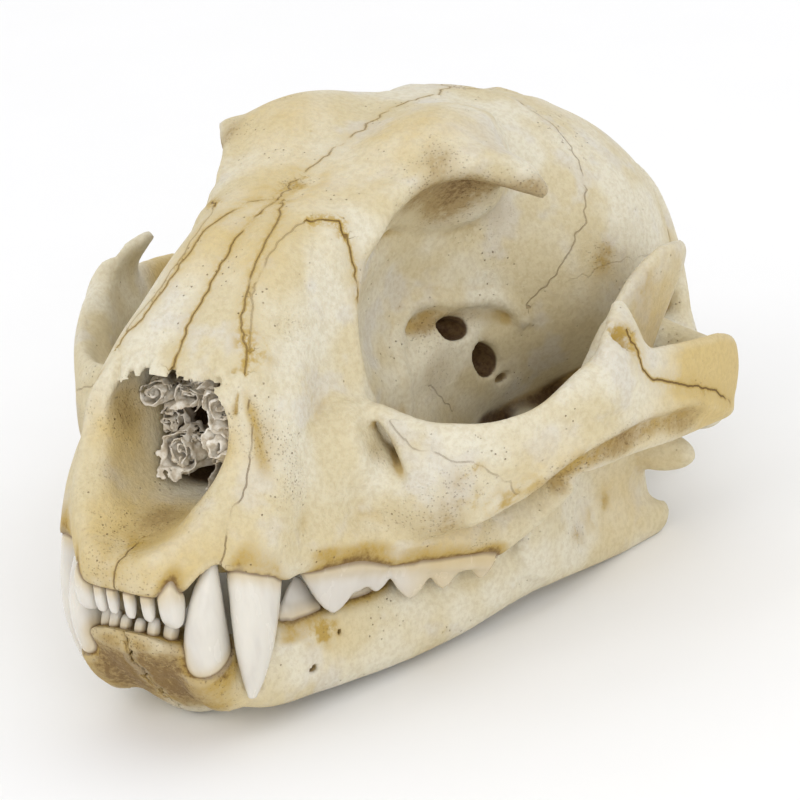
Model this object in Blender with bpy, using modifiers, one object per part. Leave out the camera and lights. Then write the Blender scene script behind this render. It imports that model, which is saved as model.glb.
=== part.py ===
"""A caracal skull with its lower jaws, life size, lying on its chin and on the angles of the jaws.

Sizes are in millimetres in the skull's own frame: x to the animal's left, y from the front teeth back,
z up from the level of the cheek teeth. The empty called rest lays that frame on the floor.
"""

from math import cos, pi, radians, sin

import bmesh
import bpy
import numpy as np
from mathutils import Euler, Matrix, Vector

MM = 0.001
GAP = 0.3  # between bones that touch
SEED = 7
CRANIUM_TRIANGLES = 7400
JAW_TRIANGLES = 1400

BONE = (0.80, 0.72, 0.56)

# Vertical sections along y: place, top, bottom, half width low down, half width high up
MUZZLE = [
    (-2.0, -0.4, -3.4, 3.4, 3.0),
    (-1.2, 2.6, -4.2, 6.2, 5.6),
    (1.0, 4.8, -4.6, 8.8, 7.6),
    (4.0, 13.0, -3.8, 12.0, 10.6),
    (7.5, 20.4, -3.0, 14.0, 12.8),
    (11.0, 23.8, -3.0, 14.8, 13.8),
    (15.0, 28.6, -3.0, 14.8, 13.6),
    (19.0, 32.8, -3.2, 15.4, 12.8),
    (23.0, 36.8, -3.8, 17.0, 12.0),
    (27.0, 39.8, -4.2, 19.2, 11.6),
    (31.0, 41.6, -4.8, 21.0, 11.8),
    (35.0, 42.0, -5.2, 21.6, 12.4),
    (40.0, 42.6, -5.6, 21.0, 12.0),
]
CHEEK = [
    (26.0, 9.0, -3.6, 18.0, 16.0),
    (33.0, 11.0, -5.0, 22.2, 20.0),
    (41.0, 11.5, -6.4, 25.2, 24.0),
    (47.0, 9.8, -7.0, 25.8, 25.6),
    (53.0, 8.6, -5.8, 24.4, 24.4),
    (60.0, 4.4, -3.0, 20.6, 18.6),
]
FOREHEAD = [
    (33.0, 41.6, 33.0, 12.0, 10.0),
    (38.0, 43.0, 34.0, 14.4, 11.8),
    (44.0, 45.4, 35.5, 16.2, 14.4),
    (50.0, 47.8, 37.0, 18.4, 16.6),
    (56.0, 49.8, 37.5, 20.6, 18.0),
    (62.0, 50.8, 36.5, 20.4, 17.4),
    (68.0, 51.3, 35.0, 17.2, 15.4),
    (75.0, 51.0, 36.0, 13.0, 12.0),
]
EYE_WALL = [
    (32.0, 38.0, -2.0, 12.0, 11.0),
    (40.0, 41.0, -3.0, 12.0, 10.6),
    (50.0, 43.0, -4.0, 11.0, 10.0),
    (60.0, 45.0, -3.0, 11.0, 11.6),
    (68.0, 47.0, -1.0, 12.5, 14.0),
    (76.0, 49.0, 1.0, 15.0, 18.6),
    (84.0, 50.0, 3.0, 17.0, 22.0),
]
BRAINCASE = [
    (69.0, 48.6, 16.0, 12.0, 13.6),
    (74.0, 50.2, 10.0, 17.4, 17.6),
    (80.0, 50.6, 6.0, 22.6, 22.4),
    (88.0, 49.7, 4.0, 26.4, 25.6),
    (96.0, 48.0, 3.6, 27.2, 26.0),
    (104.0, 45.2, 4.0, 26.0, 24.0),
    (111.0, 41.6, 5.0, 22.6, 19.6),
    (117.0, 37.6, 7.0, 16.6, 13.8),
    (121.0, 34.2, 15.0, 8.0, 7.0),
]
SKULL_BASE = [
    (60.0, 11.0, 2.6, 6.6, 8.0),
    (70.0, 12.0, 2.4, 8.0, 11.0),
    (80.0, 13.0, 2.2, 10.0, 15.0),
    (92.0, 14.0, 1.8, 12.0, 18.0),
    (106.0, 13.0, 2.4, 11.0, 16.0),
    (115.0, 12.0, 4.0, 10.0, 14.0),
    (119.0, 11.0, 6.0, 9.0, 10.0),
]
CHIN = [
    (0.4, -9.8, -12.4, 5.0, 6.6),
    (4.0, -10.4, -16.6, 6.0, 9.8),
    (8.0, -11.0, -20.5, 6.4, 11.0),
    (12.0, -12.2, -23.8, 6.2, 11.6),
    (16.0, -13.8, -25.8, 5.4, 12.0),
    (20.0, -15.8, -25.4, 6.8, 12.2),
    (24.0, -18.2, -23.8, 8.6, 12.4),
]

# Swept bars: x, y, z of the middle, half thickness, half height
CHEEK_ARCH = [
    (19.4, 32.4, 6.8, 4.6, 9.8),
    (27.6, 34.4, 7.4, 4.2, 8.2),
    (33.8, 39.6, 10.0, 3.1, 6.6),
    (38.2, 45.4, 12.4, 2.8, 6.7),
    (41.4, 52.4, 13.9, 2.6, 7.8),
    (43.2, 61.0, 14.1, 2.3, 7.5),
    (44.9, 71.0, 14.0, 2.0, 7.3),
    (45.2, 79.2, 13.6, 1.9, 7.0),
    (43.8, 86.0, 12.3, 2.1, 6.1),
    (39.6, 91.0, 11.0, 2.8, 5.2),
    (33.0, 94.2, 11.0, 3.6, 5.0),
    (25.0, 96.5, 12.0, 4.0, 5.0),
]
CHEEK_SPUR = [
    (42.8, 57.0, 16.0, 2.2, 6.8),
    (43.1, 57.2, 20.6, 1.8, 5.6),
    (42.2, 58.6, 23.8, 1.5, 3.8),
    (40.7, 60.4, 26.2, 1.1, 2.0),
    (39.6, 61.6, 27.6, 0.7, 0.9),
]
BROW_SPUR = [
    (14.0, 57.0, 44.8, 8.0, 4.6),
    (20.4, 58.8, 44.4, 6.0, 3.6),
    (24.2, 61.4, 43.0, 3.0, 2.4),
    (26.4, 63.2, 41.4, 1.1, 1.0),
]
BROW_RIM = [
    (13.4, 43.0, 42.4, 1.0, 1.2),
    (15.6, 49.0, 45.2, 1.6, 1.4),
    (18.8, 54.2, 45.9, 2.0, 1.9),
    (22.0, 58.4, 44.6, 2.2, 2.1),
    (24.8, 61.6, 42.7, 1.7, 1.7),
    (26.8, 63.6, 41.2, 0.8, 0.9),
]
CANINE_ROOT = [
    (13.5, 11.3, -2.0, 3.6, 5.4),
    (13.7, 12.8, 2.6, 3.9, 5.3),
    (13.7, 14.4, 7.6, 3.7, 4.7),
    (12.8, 17.6, 14.0, 3.4, 4.2),
    (11.4, 22.4, 22.6, 3.0, 3.6),
    (9.4, 27.0, 30.0, 2.4, 3.0),
]
NUCHAL_CREST = [
    (0.0, 121.6, 33.6, 1.7, 3.4),
    (8.0, 120.4, 32.4, 1.6, 3.2),
    (15.0, 117.4, 28.6, 1.5, 3.0),
    (20.6, 113.0, 22.4, 1.5, 3.0),
    (24.6, 109.0, 15.0, 1.7, 3.0),
    (26.4, 106.4, 8.0, 2.2, 3.0),
]
GUM_RIDGE = [
    (14.6, 13.0, -0.4, 2.4, 2.8),
    (16.4, 19.0, -0.7, 2.4, 3.0),
    (19.4, 27.0, -1.5, 2.6, 3.2),
    (22.8, 34.0, -2.2, 2.8, 3.3),
    (25.9, 42.0, -2.8, 3.1, 3.4),
    (27.6, 48.6, -3.6, 2.8, 3.2),
    (26.6, 52.6, -3.4, 2.4, 3.0),
]
PTERYGOID = [
    (9.4, 50.0, 1.4, 1.7, 7.4),
    (9.0, 58.0, 2.4, 1.5, 7.0),
    (8.6, 66.0, 1.8, 1.4, 7.4),
    (8.4, 74.0, 1.0, 1.3, 6.8),
    (8.8, 82.0, 2.4, 1.3, 3.6),
    (10.0, 88.0, 4.0, 1.3, 2.0),
]
PAROCCIPITAL = [
    (19.6, 111.0, 8.0, 3.2, 3.6),
    (20.0, 112.6, 1.0, 2.4, 2.8),
    (20.2, 112.8, -5.6, 1.4, 1.5),
]
JAW_BODY = [
    (7.4, 7.6, -14.8, 2.4, 3.0),
    (8.9, 11.2, -16.4, 3.3, 4.3),
    (11.0, 16.0, -17.4, 3.8, 5.4),
    (14.2, 25.0, -16.7, 3.9, 5.7),
    (18.2, 35.6, -15.4, 3.8, 6.0),
    (21.6, 45.6, -13.8, 3.7, 5.9),
    (24.6, 55.0, -11.6, 3.3, 5.6),
    (27.2, 66.0, -11.2, 2.7, 4.4),
    (29.2, 77.0, -11.6, 2.2, 3.6),
    (30.8, 86.4, -11.8, 2.0, 2.8),
    (31.4, 90.4, -11.5, 1.7, 2.3),
    (31.7, 92.8, -10.8, 0.7, 0.9),
]
LOWER_SOCKET = [
    (8.2, 12.4, -18.8, 3.6, 4.4),
    (8.3, 8.6, -15.8, 3.3, 4.6),
    (8.7, 7.0, -13.6, 3.1, 4.4),
]

# Level sections of the upright blade of the jaw: z, front, back, x of the middle, half thickness
JAW_BLADE = [
    (-14.2, 62.0, 87.4, 29.4, 1.0),
    (-12.2, 57.0, 90.6, 29.2, 1.7),
    (-8.4, 54.4, 91.4, 28.8, 2.2),
    (-5.0, 55.6, 90.4, 28.8, 2.3),
    (-1.0, 58.4, 89.6, 29.0, 2.3),
    (4.0, 61.4, 88.4, 29.6, 2.1),
    (9.0, 64.2, 87.0, 30.4, 1.9),
    (15.0, 67.4, 87.4, 31.3, 1.8),
    (21.0, 71.2, 90.2, 32.3, 1.7),
    (26.0, 75.2, 92.6, 33.2, 1.5),
    (28.8, 78.8, 92.8, 33.7, 1.2),
    (30.6, 84.0, 91.0, 34.0, 0.6),
]

# Balls: middle, radii, turn in degrees
BULLA = ((16.0, 100.5, 1.4), (8.2, 12.6, 8.8), (0, 0, 12))
BROW_BULGE = ((10.4, 61.0, 43.6), (8.4, 13.0, 8.4), (0, 0, 0))
OCCIPITAL_CONDYLE = ((9.0, 117.6, 9.0), (4.6, 5.4, 5.6), (0, 0, -25))
MASTOID = ((25.4, 105.6, 8.4), (3.6, 5.4, 6.0), (0, 0, 0))
JAW_CONDYLE = ((32.8, 87.4, -0.6), (6.4, 3.2, 3.0), (0, 0, -6))
JAW_SOCKET_LIP = ((35.0, 94.0, 5.4), (6.0, 2.2, 4.0), (0, 0, -10))
CHEEK_FLANK = ((14.4, 25.4, 6.0), (5.0, 7.4, 9.0), (0, 0, 0))
EYE_CORNER = ((17.0, 28.0, 12.0), (4.6, 5.0, 6.0), (0, 0, 0))

# Hollows
EYE_SOCKET = ((26.7, 46.7, 29.8), (19.9, 16.4, 23.5), (40.5, -42.2, 87.3))
NOSE_HOLLOW = [
    (-6.0, 19.6, 1.6, 2.4, 9.4),
    (4.0, 20.6, 2.6, 3.8, 10.0),
    (9.0, 21.8, 3.8, 5.4, 10.8),
    (14.0, 24.2, 4.6, 6.6, 10.8),
    (20.0, 28.6, 4.8, 7.6, 10.0),
    (26.0, 33.4, 5.4, 7.8, 9.0),
    (31.0, 34.0, 8.0, 6.0, 6.0),
]
NOSE_PROFILE = [(3.4, 2.4), (4.2, 6.5), (7.2, 10.4), (9.3, 14.0), (11.0, 21.0), (12.4, 24.4), (23.0, 45.0)]
NOSE_FLOOR_CURVE = 0.045
PALATE_VAULT = ((0.0, 27.0, -10.0), (13.4, 36.0, 9.4), (0, 0, 0))
CHEEK_TEETH_GROOVE = [
    (12.4, 17.0, -9.0, 2.0, 6.0),
    (15.2, 30.0, -9.4, 2.3, 6.4),
    (19.4, 43.0, -9.6, 2.5, 6.6),
    (21.6, 52.0, -9.0, 3.0, 6.0),
    (23.6, 60.0, -9.0, 4.0, 6.0),
]
THROAT = [
    (44.0, 4.0, -12.0, 7.0, 5.0),
    (54.0, 6.0, -12.0, 6.6, 6.0),
    (66.0, 5.6, -12.0, 6.0, 5.6),
    (80.0, 2.0, -12.0, 5.0, 4.0),
]
SPINE_HOLE = ((0.0, 121.0, 14.2), (7.4, 12.0, 6.2), (0, 0, 0))
EAR_HOLE = ((26.0, 100.0, 7.6), (5.0, 3.4, 3.2), (0, 0, 0))
CHEEK_HOLE = [
    (24.6, 22.5, 10.4, 1.0, 2.8),
    (21.6, 29.5, 11.0, 1.0, 2.7),
    (18.2, 39.0, 13.0, 2.0, 3.0),
]
NERVE_HOLES = [
    ((10.6, 64.6, 19.0), (4.2, 2.6, 1.9)),
    ((13.0, 71.0, 13.5), (4.4, 3.6, 2.6)),
    ((15.5, 75.5, 9.8), (3.6, 2.2, 1.6)),
]
MUSCLE_HOLLOW = ((37.4, 72.0, -2.6), (8.0, 14.0, 9.4), (0, 0, -6))

# Thin scrolls of bone inside the nose, as upright plates: x, y, z, half thickness, half height
NOSE_SCROLLS = [
    [(4.6, 16.6, 11.0, 0.7, 4.4), (5.0, 22.0, 12.6, 0.8, 5.6), (4.6, 33.0, 14.0, 0.8, 6.6)],
    [(6.0, 17.4, 19.6, 0.6, 2.6), (6.0, 22.0, 21.6, 0.7, 3.6), (5.4, 33.0, 24.0, 0.8, 5.0)],
    [(1.8, 18.4, 16.0, 0.6, 4.6), (1.9, 24.0, 18.0, 0.7, 5.4), (2.0, 33.0, 20.0, 0.8, 6.0)],
]

# Teeth: x, y, z and radius down the middle line
UPPER_CANINE = [
    (13.2, 14.4, 6.0, 2.6, 3.6),
    (13.5, 11.2, -0.6, 3.0, 4.7),
    (13.9, 10.4, -5.2, 2.8, 4.3),
    (14.1, 10.1, -9.0, 2.5, 3.8),
    (14.1, 10.0, -12.5, 2.1, 3.1),
    (13.9, 10.1, -16.5, 1.3, 1.9),
    (13.6, 10.1, -19.4, 0.5, 0.6),
]
LOWER_CANINE = [
    (8.4, 10.4, -19.0, 2.2, 2.8),
    (8.9, 6.8, -13.4, 2.7, 3.6),
    (9.5, 5.3, -8.6, 2.4, 3.3),
    (9.9, 5.1, -4.2, 1.8, 2.3),
    (10.1, 5.7, -1.0, 1.0, 1.2),
    (10.2, 6.4, 0.7, 0.35, 0.35),
]
# Room in the upper jaw for the tip of the lower canine
CANINE_NOTCH = 0.9
# Front teeth: x, y and z at the gum, radius across, length
UPPER_FRONT_TEETH = [(1.35, -0.5, -3.5, 0.95, 4.1), (3.75, 0.1, -3.4, 1.1, 4.3), (6.8, 1.2, -2.8, 1.6, 5.4)]
LOWER_FRONT_TEETH = [(1.15, 2.0, -10.8, 0.9, 2.4), (3.1, 2.4, -10.8, 1.0, 2.6), (5.1, 3.6, -11.0, 1.1, 2.8)]
# Cheek teeth: front and back end at the gum, half thickness, (place along, height) of each cusp
UPPER_CHEEK_TEETH = [
    ((16.2, 19.6, -2.6), (20.4, 30.6, -4.2), 2.2, [(0.0, 2.4), (0.4, 7.0), (0.8, 3.4)]),
    ((21.8, 31.4, -4.4), (28.6, 48.2, -7.2), 2.3, [(0.06, 3.6), (0.38, 6.6), (0.82, 4.2)]),
    ((24.2, 48.0, -5.2), (24.4, 50.0, -5.2), 1.3, [(0.5, 1.6)]),
]
LOWER_CHEEK_TEETH = [
    ((12.6, 17.6, -11.0), (14.8, 25.2, -10.6), 1.7, [(0.1, 2.0), (0.45, 5.4), (0.9, 2.0)]),
    ((14.8, 26.4, -10.4), (17.8, 36.0, -9.8), 1.8, [(0.1, 2.4), (0.45, 5.6), (0.88, 2.8)]),
    ((18.2, 36.8, -9.6), (21.6, 48.8, -8.6), 1.8, [(0.22, 4.6), (0.74, 4.4)]),
]

JAWS = {"upper": (UPPER_CANINE, UPPER_FRONT_TEETH, UPPER_CHEEK_TEETH, -1),
        "lower": (LOWER_CANINE, LOWER_FRONT_TEETH, LOWER_CHEEK_TEETH, 1)}


def stations(table, count):
    """Rows of a table read at evenly spaced places, on a smooth curve through the rows."""
    rows = np.array(table, float)
    place = np.linspace(0, len(rows) - 1, count)
    first = np.clip(place.astype(int), 0, len(rows) - 2)
    u = (place - first)[:, None]
    more = np.vstack([2 * rows[0] - rows[1], rows, 2 * rows[-1] - rows[-2]])
    a, b, c, d = more[first], more[first + 1], more[first + 2], more[first + 3]
    return b + 0.5 * u * (c - a + u * (2 * a - 5 * b + 4 * c - d + u * (3 * (b - c) + d - a)))


def new_object(name, mesh):
    made = bpy.data.objects.new(name, mesh)
    bpy.context.scene.collection.objects.link(made)
    return made


def skin(name, rings):
    """A closed mesh over rings of points, in millimetres, with a flat cap at each end."""
    count, sides = rings.shape[:2]
    mesh = bpy.data.meshes.new(name)
    index = np.arange(count * sides).reshape(count, sides)
    turned = np.roll(index, -1, axis=1)
    quads = np.stack([index[:-1], turned[:-1], turned[1:], index[1:]], -1).reshape(-1, 4)
    faces = quads.tolist() + [index[0][::-1].tolist(), index[-1].tolist()]
    mesh.from_pydata((rings.reshape(-1, 3) * MM).tolist(), [], faces)
    shape = bmesh.new()
    shape.from_mesh(mesh)
    bmesh.ops.recalc_face_normals(shape, faces=shape.faces)
    shape.to_mesh(mesh)
    shape.free()
    return new_object(name, mesh)


def rounded(sides, squareness):
    """Points round a curve between a circle (2) and a box (large), each as (across, up)."""
    turn = np.linspace(0, 2 * pi, sides, endpoint=False)
    power = 2 / squareness
    across = np.sign(np.cos(turn)) * np.abs(np.cos(turn)) ** power
    return across, np.sign(np.sin(turn)) * np.abs(np.sin(turn)) ** power


def loft(name, table, squareness=2.4, sides=28):
    """A form across the middle plane, from its sections along y."""
    y, top, bottom, low, high = stations(table, 3 * len(table)).T[:, :, None]
    across, up = rounded(sides, squareness)
    z = (top + bottom) / 2 + (top - bottom) / 2 * up
    x = across * ((low + high) / 2 + (high - low) / 2 * up)
    return skin(name, np.stack([x, y + 0 * x, z], -1))


def blade(name, table, squareness=2.6, sides=24):
    """An upright plate, from its level sections."""
    z, front, back, middle, thick = stations(table, 3 * len(table)).T[:, :, None]
    across, along = rounded(sides, squareness)
    x = middle + thick * across
    y = (front + back) / 2 + (back - front) / 2 * along
    return skin(name, np.stack([x, y, z + 0 * x], -1))


def sweep(name, table, squareness=2.2, sides=14, density=3, lean=0.0):
    """A bar along a path, whose sections stay as upright as the path lets them."""
    rows = stations(table, density * len(table))
    path, thick, high = rows[:, :3], rows[:, 3], rows[:, 4]
    ahead = np.gradient(path, axis=0)
    ahead /= np.linalg.norm(ahead, axis=1)[:, None]
    steep = np.abs(ahead[:, 2]).mean() > 0.7
    up = np.array((0, 1, 0)) if steep else np.array((0, 0, 1))
    side = np.cross(ahead, up)
    side /= np.linalg.norm(side, axis=1)[:, None]
    up = np.cross(side, ahead)
    across, rise = rounded(sides, squareness)
    out = across[:, None] * side[:, None] * thick[:, None, None]
    rings = path[:, None] + out + rise[:, None] * up[:, None] * high[:, None, None]
    rings[..., 0] -= lean * (rings[..., 2] - path[:, None, 2])
    return skin(name, rings)


def ball(name, middle, radii, turn=(0, 0, 0)):
    mesh = bpy.data.meshes.new(name)
    shape = bmesh.new()
    bmesh.ops.create_uvsphere(shape, u_segments=24, v_segments=14, radius=MM)
    place = Matrix.Translation(Vector(middle) * MM) @ Euler([radians(a) for a in turn]).to_matrix().to_4x4()
    bmesh.ops.transform(shape, matrix=place @ Matrix.Diagonal((*radii, 1)), verts=shape.verts)
    shape.to_mesh(mesh)
    shape.free()
    return new_object(name, mesh)


def slab(name, middle, size, turn=0.0):
    """A box turned about its upright axis."""
    mesh = bpy.data.meshes.new(name)
    shape = bmesh.new()
    bmesh.ops.create_cube(shape, size=MM)
    place = Matrix.Translation(Vector(middle) * MM) @ Matrix.Rotation(radians(turn), 4, "Z")
    bmesh.ops.transform(shape, matrix=place @ Matrix.Diagonal((*size, 1)), verts=shape.verts)
    shape.to_mesh(mesh)
    shape.free()
    return new_object(name, mesh)


def mirrored(piece):
    """The piece's twin on the animal's right side."""
    twin = new_object(piece.name + "_right", piece.data.copy())
    twin.data.transform(Matrix.Scale(-1, 4, (1, 0, 0)))
    twin.data.flip_normals()
    return twin


def pair(piece):
    return [piece, mirrored(piece)]


def settle(piece):
    """Applies the piece's modifiers."""
    graph = bpy.context.evaluated_depsgraph_get()
    mesh = bpy.data.meshes.new_from_object(piece.evaluated_get(graph))
    piece.modifiers.clear()
    old, piece.data = piece.data, mesh
    bpy.data.meshes.remove(old)


def combine(piece, others, operation):
    """One Boolean of the piece with a collection of closed pieces, which are then removed."""
    group = bpy.data.collections.new("joining")
    bpy.context.scene.collection.children.link(group)
    for other in others:
        bpy.context.scene.collection.objects.unlink(other)
        group.objects.link(other)
    join = piece.modifiers.new("join", "BOOLEAN")
    join.operation = operation
    join.solver = "MANIFOLD"
    join.operand_type = "COLLECTION"
    join.collection = group
    settle(piece)
    for other in others:
        bpy.data.objects.remove(other)
    bpy.data.collections.remove(group)


def grown(piece, voxel, rounds, triangles):
    """Grows one even skin over the piece, smooths its joins and thins it out."""
    remesh = piece.modifiers.new("skin", "REMESH")
    remesh.mode = "VOXEL"
    remesh.voxel_size = voxel * MM
    smooth = piece.modifiers.new("smooth", "SMOOTH")
    smooth.factor = 0.5
    smooth.iterations = rounds
    settle(piece)
    thin = piece.modifiers.new("thin", "DECIMATE")
    thin.ratio = triangles / (2 * len(piece.data.polygons))
    settle(piece)


def closed_parts(piece):
    """The separate closed surfaces of a mesh, the largest first, as new objects."""
    shape = bmesh.new()
    shape.from_mesh(piece.data)
    bmesh.ops.triangulate(shape, faces=shape.faces)
    shape.verts.ensure_lookup_table()
    unseen, groups = set(range(len(shape.verts))), []
    while unseen:
        reached = [unseen.pop()]
        for vertex in reached:
            near = {edge.other_vert(shape.verts[vertex]).index for edge in shape.verts[vertex].link_edges}
            reached += near & unseen
            unseen -= near
        groups.append(reached)
    groups.sort(key=len, reverse=True)
    made = []
    for group in groups:
        keep = set(group)
        copy = shape.copy()
        bmesh.ops.delete(copy, geom=[v for v in copy.verts if v.index not in keep], context="VERTS")
        mesh = bpy.data.meshes.new(piece.name)
        copy.to_mesh(mesh)
        copy.free()
        made.append(new_object(piece.name, mesh))
    shape.free()
    bpy.data.objects.remove(piece)
    return made


def largest(piece):
    """The piece without hollows sealed inside it and loose scraps."""
    name = piece.name
    kept, *scraps = closed_parts(piece)
    for scrap in scraps:
        bpy.data.objects.remove(scrap)
    kept.name = name
    return kept


def front_tooth(name, x, y, z, radius, length, way):
    """A small peg whose root is sunk in the jaw; way is -1 for down and 1 for up."""
    places = [(-0.7, 0.4, 0.7), (0.0, 0.0, 1.0), (0.55, 0.06, 0.95), (0.9, 0.1, 0.6), (1.0, 0.12, 0.2)]
    rows = [(x, y + length * back, z + way * length * f, radius * r, 1.2 * radius * r)
            for f, back, r in places]
    return sweep(name, rows, sides=7, density=1)


def cheek_tooth(name, front, back, thick, cusps, way):
    """A row of cusps on one root: each cusp falls off evenly to its sides, and the highest shows."""
    front, back = np.array(front), np.array(back)
    length = np.linalg.norm(back - front)
    along = np.linspace(-0.02, 1.02, 4 + 5 * len(cusps))
    slopes = [height * np.clip(1.0 - np.abs(along - place) * length / (1.15 * height), 0, 1)
              for place, height in cusps]
    heights = np.sum([slope ** 5 for slope in slopes], axis=0) ** 0.2
    heights = np.maximum(heights, 1.5) * np.sqrt(np.clip(1 - (2 * along - 1) ** 6, 0.05, 1))
    width = thick * np.sqrt(np.clip(1 - 0.8 * (2 * along - 1) ** 4, 0.1, 1))
    ahead = (back - front) / length
    side = np.cross(ahead, (0, 0, 1))
    # Round the section: root on one flank, edge, root on the other flank
    profile = np.array([(-0.9, -0.5), (-1.0, 0.0), (-0.72, 0.45), (-0.14, 1.0), (0.14, 1.0), (0.72, 0.45),
                        (1.0, 0.0), (0.9, -0.5)])
    out = profile[:, 0][None] * width[:, None]
    rise = np.where(profile[:, 1] > 0, profile[:, 1] * heights[:, None], profile[:, 1] * 6.0)
    middle = front + along[:, None] * (back - front)
    rings = middle[:, None] + out[..., None] * side + way * rise[..., None] * np.array((0, 0, 1))
    return skin(name, rings)


def teeth(jaw, side, draw):
    """The teeth of one half of a jaw, each a little off the named size."""
    canine, front, cheek, way = JAWS[jaw]
    made = [sweep(jaw + "_canine", canine, sides=10, density=2)]
    for x, y, z, radius, length in front:
        made.append(front_tooth(jaw + "_front", x, y, z, radius, length * draw.uniform(0.93, 1.07), way))
    for start, end, thick, cusps in cheek:
        varied = [(place, height * draw.uniform(0.95, 1.05)) for place, height in cusps]
        made.append(cheek_tooth(jaw + "_cheek", start, end, thick, varied, way))
    if side == "left":
        return made
    turned = [mirrored(tooth) for tooth in made]
    for tooth in made:
        bpy.data.objects.remove(tooth)
    return turned


def cranium():
    """The skull without its lower jaws, in one closed piece."""
    pieces = [
        loft("forehead", FOREHEAD, 3.2),
        loft("cheek_block", CHEEK, 3.0),
        loft("eye_wall", EYE_WALL, 2.4),
        loft("braincase", BRAINCASE, 2.1, 36),
        loft("skull_base", SKULL_BASE, 2.8),
        *pair(sweep("cheek_arch", CHEEK_ARCH, 2.3, density=4, lean=-0.1)),
        *pair(sweep("cheek_spur", CHEEK_SPUR)),
        *pair(sweep("brow_spur", BROW_SPUR)),
        *pair(sweep("canine_root", CANINE_ROOT)),
        *pair(sweep("nuchal_crest", NUCHAL_CREST)),
        *pair(sweep("gum_ridge", GUM_RIDGE)),
        *pair(sweep("pterygoid", PTERYGOID)),
        *pair(sweep("paroccipital", PAROCCIPITAL)),
        *pair(ball("bulla", *BULLA)),
        *pair(ball("brow_bulge", *BROW_BULGE)),
        *pair(ball("occipital_condyle", *OCCIPITAL_CONDYLE)),
        *pair(ball("mastoid", *MASTOID)),
        *pair(ball("jaw_socket_lip", *JAW_SOCKET_LIP)),
        *pair(ball("cheek_flank", *CHEEK_FLANK)),
        *pair(ball("eye_corner", *EYE_CORNER)),
    ]
    whole = loft("cranium", MUZZLE, 3.4, 36)
    combine(whole, pieces, "UNION")
    ahead, up = np.array(NOSE_PROFILE).T
    outlines = []
    for x in np.linspace(-20, 20, 17):
        heights = np.linspace(up[0] + NOSE_FLOOR_CURVE * x * x, up[-1], 14)
        edge = [(x, y, z) for y, z in zip(np.interp(heights, up, ahead), heights)]
        outlines.append([(x, -12.0, heights[0]), *edge, (x, -12.0, heights[-1])])
    hollows = [
        loft("nose_hollow", NOSE_HOLLOW, 2.4),
        skin("nose_front", np.array(outlines)[:, ::-1]),
        ball("palate_vault", *PALATE_VAULT),
        loft("throat", THROAT, 2.6),
        ball("spine_hole", *SPINE_HOLE),
        *pair(ball("eye_socket", *EYE_SOCKET)),
        *pair(ball("ear_hole", *EAR_HOLE)),
        *pair(sweep("cheek_hole", CHEEK_HOLE)),
        *pair(sweep("cheek_teeth_groove", CHEEK_TEETH_GROOVE)),
    ]
    for middle, radii in NERVE_HOLES:
        hollows += pair(ball("nerve_hole", middle, radii))
    tip = tuple(2 * a - b for a, b in zip(LOWER_CANINE[-1], LOWER_CANINE[-2]))
    room = [(x, y, z, thick + CANINE_NOTCH, high + CANINE_NOTCH)
            for x, y, z, thick, high in LOWER_CANINE + [(*tip[:3], 0.2, 0.2)]]
    hollows += pair(sweep("canine_notch", room, density=2))
    combine(whole, hollows, "DIFFERENCE")
    added = pair(sweep("brow_rim", BROW_RIM))
    for row in NOSE_SCROLLS:
        added += pair(sweep("nose_scroll", row, 3.0, 10))
    combine(whole, added, "UNION")
    return whole


def lower_jaw():
    """The left lower jaw bone, open to its twin at the middle plane."""
    whole = sweep("mandible_left", JAW_BODY, 2.3, lean=0.1)
    pieces = [loft("chin", CHIN, 2.3), sweep("lower_socket", LOWER_SOCKET), blade("jaw_blade", JAW_BLADE),
              ball("jaw_condyle", *JAW_CONDYLE)]
    combine(whole, pieces, "UNION")
    combine(whole, [ball("muscle_hollow", *MUSCLE_HOLLOW)], "DIFFERENCE")
    return whole


def material(name, colour, roughness):
    made = bpy.data.materials.new(name)
    made.use_nodes = True
    shader = made.node_tree.nodes["Principled BSDF"]
    shader.inputs["Base Color"].default_value = (*colour, 1)
    shader.inputs["Roughness"].default_value = roughness
    shader.inputs["Metallic"].default_value = 0
    return made


def rest_angle(points):
    """The nod that brings the lowest point of the chin and of the jaw angles to one level."""
    chin, angle = points[points[:, 1] < 40], points[points[:, 1] > 60]
    nod = 0.0
    for _ in range(30):
        drops = []
        for part in (chin, angle):
            heights = part[:, 2] * cos(nod) - part[:, 1] * sin(nod)
            low = heights.argmin()
            drops.append((heights[low], part[low, 1]))
        nod += (drops[1][0] - drops[0][0]) / (drops[1][1] - drops[0][1])
    return nod, drops[0][0]


def points_of(piece):
    """The piece's points in millimetres."""
    points = np.empty(3 * len(piece.data.vertices))
    piece.data.vertices.foreach_get("co", points)
    return points.reshape(-1, 3) / MM


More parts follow.
